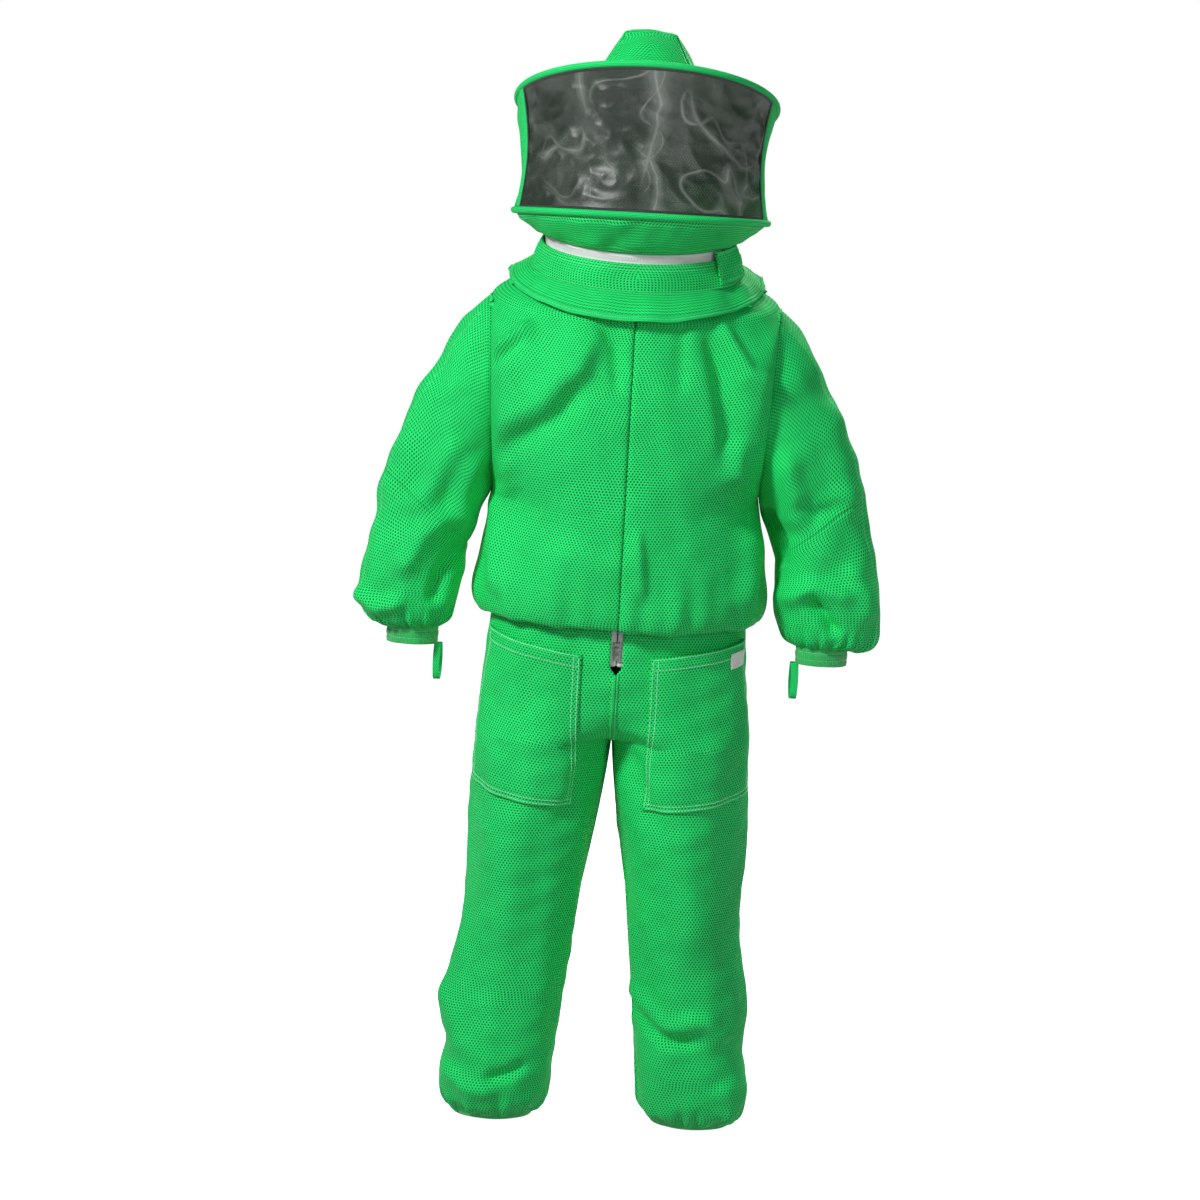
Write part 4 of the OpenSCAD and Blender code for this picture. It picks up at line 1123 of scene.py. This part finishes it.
for side, tag in SIDES:
    for part, cx, cy, top, r, ribs, body in (
            ("cuff", WRIST_X, WRIST_Y, CUFF_Z + 1, WRIST_R + BAND_T - 0.8, 64, f"forearm_{tag}"),
            ("ankle_band", ANKLE_X, 0.0, HEM_Z + BAND_H, ANKLE_R + BAND_T - 1.4, 96, f"lower_leg_{tag}")):
        f = ribbed_band(cx * side, cy, top, r, BAND_H + 0.4, ribs, side)
        wear(shell(f"{part}_{tag}_cloth", f, ribs * 6, 22, 2.0, -1, True), body, RIBBED,
             [f"{part}_{tag}"])
        sew(f"{part}_{tag}_stitching", [(f, -1, np.linspace(0, 1, 300), v) for v in BAND_SEWN], body,
            slot="ribbed_cloth", pitch=3.4, long=2.4, wide=0.9)
        refinish(f"{part.split('_')[0]}_elastic_{tag}", ELASTIC)

    def strap(u, v, side=side):
        """A strap folded into a long U: v runs round the U, u across the strap."""
        r, drop = 10.3, 45.0
        bend = math.pi * r
        run = v * (2 * drop + bend)
        a = np.clip((run - drop) / r, 0, math.pi)
        y = -r * np.cos(a)
        z = np.where(run < drop, -run, np.where(run > drop + bend, run - 2 * drop - bend, -drop))
        x = WRIST_X - WRIST_R - 7 + 6 * (2 * u - 1) * (1 - 0.12 * np.sin(np.pi * v))
        sway = 1.6 * np.sin(np.pi * np.clip(v, 0, 1) * 2)
        return xyz(side * (x + sway), WRIST_Y + y, CUFF_Z - BAND_H + 1 + z - r * np.sin(a))
    wear(shell(f"thumb_loop_{tag}_cloth", strap, 6, 80, 2.2, side), f"forearm_{tag}", GREEN_FINE,
         [f"thumb_loop_{tag}"])

# %% [markdown]
# ## The trousers
# One tube of cloth makes each leg from the waist to the hem. Above the crotch it is open at the centre,
# where the two legs join in the fly and the seat seam. The fly stays open as far as the zip reaches.

# %% Trouser shape
def side_x(z):
    """Half width of the trousers at height z."""
    return np.where(z > CROTCH_Z, mix(WAIST_W, HIP_W, smooth((WAIST_Z - z) / (WAIST_Z - CROTCH_Z))),
                    mix(HIP_W, KNEE_W, smooth((CROTCH_Z - z) / (CROTCH_Z - KNEE_Z))))


def leg_c(z):
    """How far a leg's centre lies from the middle of the body."""
    high = side_x(z) / 2 * np.clip((WAIST_Z - z) / (WAIST_Z - CROTCH_Z), 0, 1) ** 3
    inner = KNEE_IN * np.clip((CROTCH_Z - z) / (CROTCH_Z - KNEE_Z), 0, 1) ** 1.3
    return np.where(z > CROTCH_Z, high, (side_x(z) + inner) / 2)


def leg_depth(z, front):
    """Depth in front of the middle plane, or behind it."""
    rise, thigh = LIP_Z - CROTCH_Z, CROTCH_Z - KNEE_Z
    slope = smooth((LIP_Z - FRONT_FLAT - z) / (rise - FRONT_FLAT))
    fore = np.where(z > CROTCH_Z, mix(WAIST_D, WAIST_D - 8, slope),
                    mix(WAIST_D - 8, KNEE_FRONT, smooth((CROTCH_Z - z) / thigh)))
    seat = np.where(z > CROTCH_Z, mix(WAIST_D, WAIST_D + 14, smooth((WAIST_Z - z) / rise)),
                    mix(WAIST_D + 14, KNEE_BACK, smooth((CROTCH_Z - z) / thigh)))
    return np.where(front, -fore, seat)


def leg_angle(x, z):
    """The angle round the leg, in degrees, at which its surface meets x."""
    c = leg_c(z)
    return np.degrees(np.arccos(np.clip((x - c) / (side_x(z) - c), -1, 1)))


def thigh_point(a, z):
    """The trousers at angle a round the leg: 0 at the outside, negative in front."""
    c = leg_c(z)
    return xyz(c + (side_x(z) - c) * cosd(a), leg_depth(z, a < 0) * np.abs(sind(a)), z)


def shin_keys():
    """Rows of the outer and inner edge's x, the front and back depth, and z, from knee to hem."""
    x, rim = ANKLE_X, ANKLE_R + BAND_T + 0.6
    zs = mix(KNEE_Z, HEM_Z + 4, np.array([0, 0.24, 0.5, 0.68, 0.84, 0.94, 1]))
    edges = [[KNEE_W, KNEE_IN, KNEE_FRONT, KNEE_BACK],
             [mix(KNEE_W, x + 76, 0.4), mix(KNEE_IN, x - 104, 0.5), 96, 96],
             [x + 80, x - 103, 94, 96], [x + 76, x - 96, 92, 93], [x + 88, x - 91, 94, 94],
             [x + 84, x - 86, 88, 88], [x + rim, x - rim, rim, rim]]
    return np.column_stack([edges, zs])


SHIN = shin_keys()
KNEE_V = 0.545        # the leg's v at the knee
INSEAM = -999.0       # an x beyond the leg's inner edge, which leg_angle turns into the inseam


def trouser(side):
    """One leg from the waist (v = 0) to the hem (v = 1); u runs from the fly round the outside to the
    seat seam. Below the crotch u = 0 and u = 1 meet in the inseam."""
    def f(u, v):
        z = mix(WAIST_Z, KNEE_Z, np.clip(v / KNEE_V, -0.1, 1))
        fly = mix(9.3, 0.3, smooth((ZIP_BOT - z) / 14))
        front, rear = (leg_angle(np.where(z > CROTCH_Z, x, INSEAM), z) for x in (fly, 0.2))
        a = mix(-front, rear, u)
        k = spline(SHIN, np.clip((v - KNEE_V) / (1 - KNEE_V), 0, 1.1) * 6)
        shin = xyz((k[..., 0] + k[..., 1]) / 2 + (k[..., 0] - k[..., 1]) / 2 * cosd(a),
                   np.where(a < 0, -k[..., 2], k[..., 3]) * np.abs(sind(a)), k[..., 4])
        return np.where((v > KNEE_V)[..., None], shin, thigh_point(a, z)) * [side, 1, 1]
    return f


LEG_FOLDS = [
    ([(-262, -1150), (-218, -1235), (-180, -1302)], 16, 26, 8),
    ([(-176, -1318), (-132, -1306), (-98, -1288)], 10, 8, -7),
    ([(-250, -1300), (-200, -1330), (-140, -1338)], 12, 14, 5),
    ([(8, -1178), (118, -1243), (180, -1238)], 16, 9, -7),
    ([(24, -1160), (112, -1218), (186, -1216)], 16, 12, 6),
    ([(128, -1196), (172, -1206), (212, -1246)], 10, 12, 6),
    ([(196, -1300), (214, -1335), (205, -1375)], 16, 16, 5),
    ([(6, -762), (52, -836), (88, -930)], 13, 18, -5),
    ([(-6, -762), (-48, -836), (-80, -920)], 18, 13, -5),
    ([(-150, -850), (-164, -1000), (-158, -1130)], 30, 24, 6),
    ([(120, -860), (128, -1000), (150, -1130)], 26, 32, 6),
    ([(-205, -900), (-214, -1020), (-225, -1140)], 18, 22, -4),
    ([(190, -880), (205, -1040), (210, -1150)], 18, 22, -4)]
SEAT_FOLDS = [
    ([(-150, -760), (-80, -800), (-10, -790)], 20, 14, 6),
    ([(150, -760), (80, -800), (10, -790)], 14, 20, 6),
    ([(-200, -1000), (-130, -1030), (-50, -1010)], 14, 18, -6),
    ([(200, -1000), (130, -1030), (50, -1010)], 18, 14, -6),
    ([(-140, -840), (-150, -1140)], 26, 26, 5),
    ([(140, -840), (150, -1140)], 26, 26, 5)]


def leg_v(z):
    """The leg's v at a height above the knee."""
    return (WAIST_Z - z) / (WAIST_Z - KNEE_Z) * KNEE_V


def leg_lumps(p, v):
    """Folds of front and seat and slow waves, calm at the waist."""
    slow = 3.0 * waves(p * [1, 1, 0.45], 95, 81) + 1.2 * waves(p, 44, 82)
    deep = 1.6 * (folds(p, LEG_FOLDS, -1) + folds(p, SEAT_FOLDS, 1))
    return (deep + slow * smooth((1.01 - v) / 0.06)) * smooth(v / 0.1)


def leg_move(p, u, v):
    """The leg's lumps, and pleats where the hem gathers at the ankle."""
    turn = np.arctan2(p[..., 1], np.abs(p[..., 0]) - ANKLE_X)
    pleats = np.sin(turn * 15 + 1.2 * np.sin(turn * 4) + np.sign(p[..., 0])) + 0.5 * np.sin(turn * 26)
    gather = smooth((v - 0.86) / 0.11) * (1 - 0.6 * smooth((v - 0.965) / 0.03))
    return leg_lumps(p, v) + 2.8 * pleats * gather


# Even rows, with more of them at the crotch and at the gathered hem.
LEG_ROWS = np.unique(np.concatenate([np.linspace(0, 1, 175), np.linspace(0.22, 0.28, 14),
                                     np.linspace(0.93, 1, 26)]))
for side, tag in SIDES:
    leg = draped(trouser(side), -side, leg_move)
    knee = ("suit", f"lower_leg_{tag}", (0, 0, -0.92), (0, 0, -1.10))
    wear(shell(f"trouser_{tag}_cloth", leg, 132, LEG_ROWS, CLOTH, -side), knee, GREEN,
         [f"trouser_front_{tag}", f"trouser_back_{tag}", f"leg_{tag}"])

# %% [markdown]
# ### The middle seam
# The two legs are sewn together on the middle plane, below the fly in front and from the waist behind.
# A narrow strip with two rows of stitches covers the place where their edges meet.

# %% Middle seam
def middle_seam(front):
    """The seam on the middle plane, from the fly's end or the waist down to the crotch: a narrow strip
    on the trousers' surface that stands a little proud of it."""
    def f(u, v):
        z = mix(ZIP_BOT - 12 if front else WAIST_Z - 2, CROTCH_Z + 1, v)
        x = mix(-5.5, 5.5, u)
        a = leg_angle(np.abs(x) + 0.2, z) * (-1 if front else 1)
        return xyz(x, thigh_point(a, z)[..., 1], z)

    def move(p, u, v):
        return leg_move(p, u, leg_v(p[..., 2])) + 1.3
    return draped(f, -1 if front else 1, move)


for front, tag in ((True, "front"), (False, "back")):
    felled, out = middle_seam(front), -1 if front else 1
    wear(shell(f"middle_seam_{tag}_cloth", felled, 8, 70, 2.4, out), "suit", GREEN_FINE)
    seams = [(felled, out, k, LINE * 0.96 + 0.02) for k in (0.2, 0.8)]
    sew(f"middle_seam_{tag}_stitching", seams, "suit")

# %% [markdown]
# ### Pockets
# Two patch pockets lie on the thighs. The mouth slants up towards the centre and has a doubled hem.
# Bright double stitching holds the sides and the curved bottom. A blank woven patch sits by one mouth.

# %% Pockets
def pocket(side):
    """A pocket: u runs from its outer edge to the inner one, v from the mouth down."""
    def f(u, v):
        top = mix(LIP_Z - 10, LIP_Z - 38, u)
        bottom = top - 240 - 26 * u * (1 - u)
        z = mix(top, bottom, v)
        return thigh_point(-mix(14.0, leg_angle(53.0, z), u), z) * [side, 1, 1]
    return f


def pocket_move(p, u, v):
    """The pocket's height over the trousers: sewn down at three sides, looser at the mouth."""
    edge = smooth(np.minimum(np.minimum(u, 1 - u) * 8, (1 - v) * 11))
    mouth = bell(v / 0.10) * arch(u)
    hem = 1.1 * smooth((0.085 - v) / 0.01) + 0.6 * smooth((v - 0.965) / 0.01)
    loose = (3.0 + 0.9 * waves(p, 60, 91)) * edge + 3.0 * mouth
    return leg_lumps(p, leg_v(p[..., 2])) + 3.2 + loose + hem


def patch_place(cloth):
    """Where the blank patch lies on a pocket, near the outer end of its mouth."""
    def f(u, v):
        return cloth(mix(0.06, 0.3, u), mix(0.05, 0.15, v))
    return f


WAY_ACROSS, WAY_DOWN = LINE * 0.97 + 0.015, LINE * 0.96 + 0.02
for side, tag in SIDES:
    cloth = draped(pocket(side), side, pocket_move)
    wear(shell(f"pocket_{tag}_cloth", cloth, 60, 96, 2.8, side), "suit", GREEN,
         [f"pocket_{tag}"])
    mouth, foot = ([(WAY_ACROSS, v) for v in pair] for pair in ((0.012, 0.08), (0.958, 0.986)))
    runs = mouth + [(u, WAY_DOWN) for u in (0.018, 0.055, 0.945, 0.982)] + foot
    sew(f"pocket_{tag}_stitching", [(cloth, side, u, v) for u, v in runs], "suit", STITCH,
        pitch=4.6, long=3.3, wide=1.15, high=0.7)
    if tag == "left":
        patch = lifted(patch_place(cloth), 1, 1.4)
        wear(shell("pocket_patch_cloth", patch, 24, 12, 0.7, 1), "suit", PATCH,
             ["pocket_patch"])

# %% [markdown]
# ## The front zip
# The zip runs hidden behind the blouse's fronts and shows below the lip, where its white tapes lie
# between the edges of the fly. The sliders are the frame's own solids with a metal finish.

# %% Front zip
def front_tape(side):
    """One tape beside the coil."""
    def f(u, v):
        return xyz(side * mix(2.4, 13.4, u), -ZIP_Y - 0.2, mix(ZIP_TOP, ZIP_BOT, v))
    return f


def front_coil(side):
    """Places down the front zip, beside its middle."""
    def place(t):
        n = len(t)
        c = xyz(np.full(n, side * 1.8), -ZIP_Y - 0.3, mix(ZIP_TOP - 1, ZIP_BOT + 1, t))
        return c, xyz(np.zeros(n), 0.0, -1.0), xyz(np.zeros(n), -1.0, 0.0)
    return place


for side, tag in SIDES:
    wear(shell(f"front_tape_{tag}", front_tape(side), 4, 160, 0.9, side), "suit", TAPE,
         [f"front_zip_tape_{tag}"])
    wear(loops(f"front_coil_{tag}", front_coil(side), 260, (1.3, 2.0, 1.8)), "suit", COIL,
         ["front_zip_coils"] if side > 0 else [])

for name, finish in (("top_slider", GUNMETAL), ("bottom_slider", GUNMETAL), ("bottom_pull", GUNMETAL),
                     ("neck_zip_slider", GUNMETAL), ("brim_wire", SPRING), ("waist_elastic", ELASTIC)):
    refinish(name, finish)
shown = [o.name for o in nodes.values() if not o.hide_render]
print("carried over", sorted(shown))

# %% [markdown]
# ## The stage
# A plain pale floor, a white surround and large soft lights. The camera stands as high as the neck zip
# and looks slightly down, as at a person across a room.

# %% Stage, lights and camera
def lamp(name, place, aim, size, power):
    """A large square light at place that looks at aim."""
    light = bpy.data.lights.new(name, "AREA")
    light.shape, light.size, light.energy = "SQUARE", size, power
    o = bpy.data.objects.new(name, light)
    bpy.context.scene.collection.objects.link(o)
    o.location = place
    way = np.array(aim, float) - np.array(place, float)
    o.rotation_euler = (math.atan2(math.hypot(way[0], way[1]), -way[2]), 0, math.atan2(-way[0], way[1]))


floor_z = HEM_Z / 1000 - 0.002
floor_mesh = bpy.data.meshes.new("floor")
floor_mesh.from_pydata([(40 * x, 40 * y, floor_z) for x, y in FOOT], [], [(0, 1, 2, 3)])
floor = bpy.data.objects.new("floor", floor_mesh)
bpy.context.scene.collection.objects.link(floor)
paint = Finish("floor_paint", Roughness=0.9, Emission_Strength=0.9)
tone = paint.blend(paint.noise(3.0), (0.9, 0.9, 0.9, 1), (0.94, 0.94, 0.94, 1))
floor.data.materials.append(paint.colour(tone))
floor.visible_diffuse = False

world = bpy.data.worlds.new("surround")
world.use_nodes = True
sky = world.node_tree
sky.nodes["Background"].inputs[0].default_value = (1, 1, 1, 1)
seen = sky.nodes.new("ShaderNodeLightPath")
glow = sky.nodes.new("ShaderNodeMapRange")
glow.inputs["To Min"].default_value = 0.2
glow.inputs["To Max"].default_value = 1.0
sky.links.new(seen.outputs["Is Camera Ray"], glow.inputs["Value"])
sky.links.new(glow.outputs[0], sky.nodes["Background"].inputs[1])
bpy.context.scene.world = world
lamp("key", (-2.4, -2.6, 1.7), (0, 0, -0.6), 0.7, 136)
lamp("fill", (1.6, -3.6, 0.1), (0, 0, -0.6), 1.6, 26)
lamp("rim", (0.9, 2.8, 2.0), (0, 0, -0.5), 1.4, 110)

camera = bpy.data.objects.new("camera", bpy.data.cameras.new("camera"))
bpy.context.scene.collection.objects.link(camera)
AWAY, AIM_BELOW = 5.0, 0.563    # the camera's distance, and how far below it the picture's middle is
camera.location = (-0.03, -AWAY, 0.0)
tilt, roll = math.atan2(AWAY, AIM_BELOW), math.radians(3.2)
camera.rotation_euler = (Matrix.Rotation(tilt, 3, "X") @ Matrix.Rotation(roll, 3, "Z")).to_euler()
camera.data.lens, camera.data.sensor_width = 96.5, 36
bpy.context.scene.camera = camera
bpy.context.scene.view_settings.view_transform = "Standard"
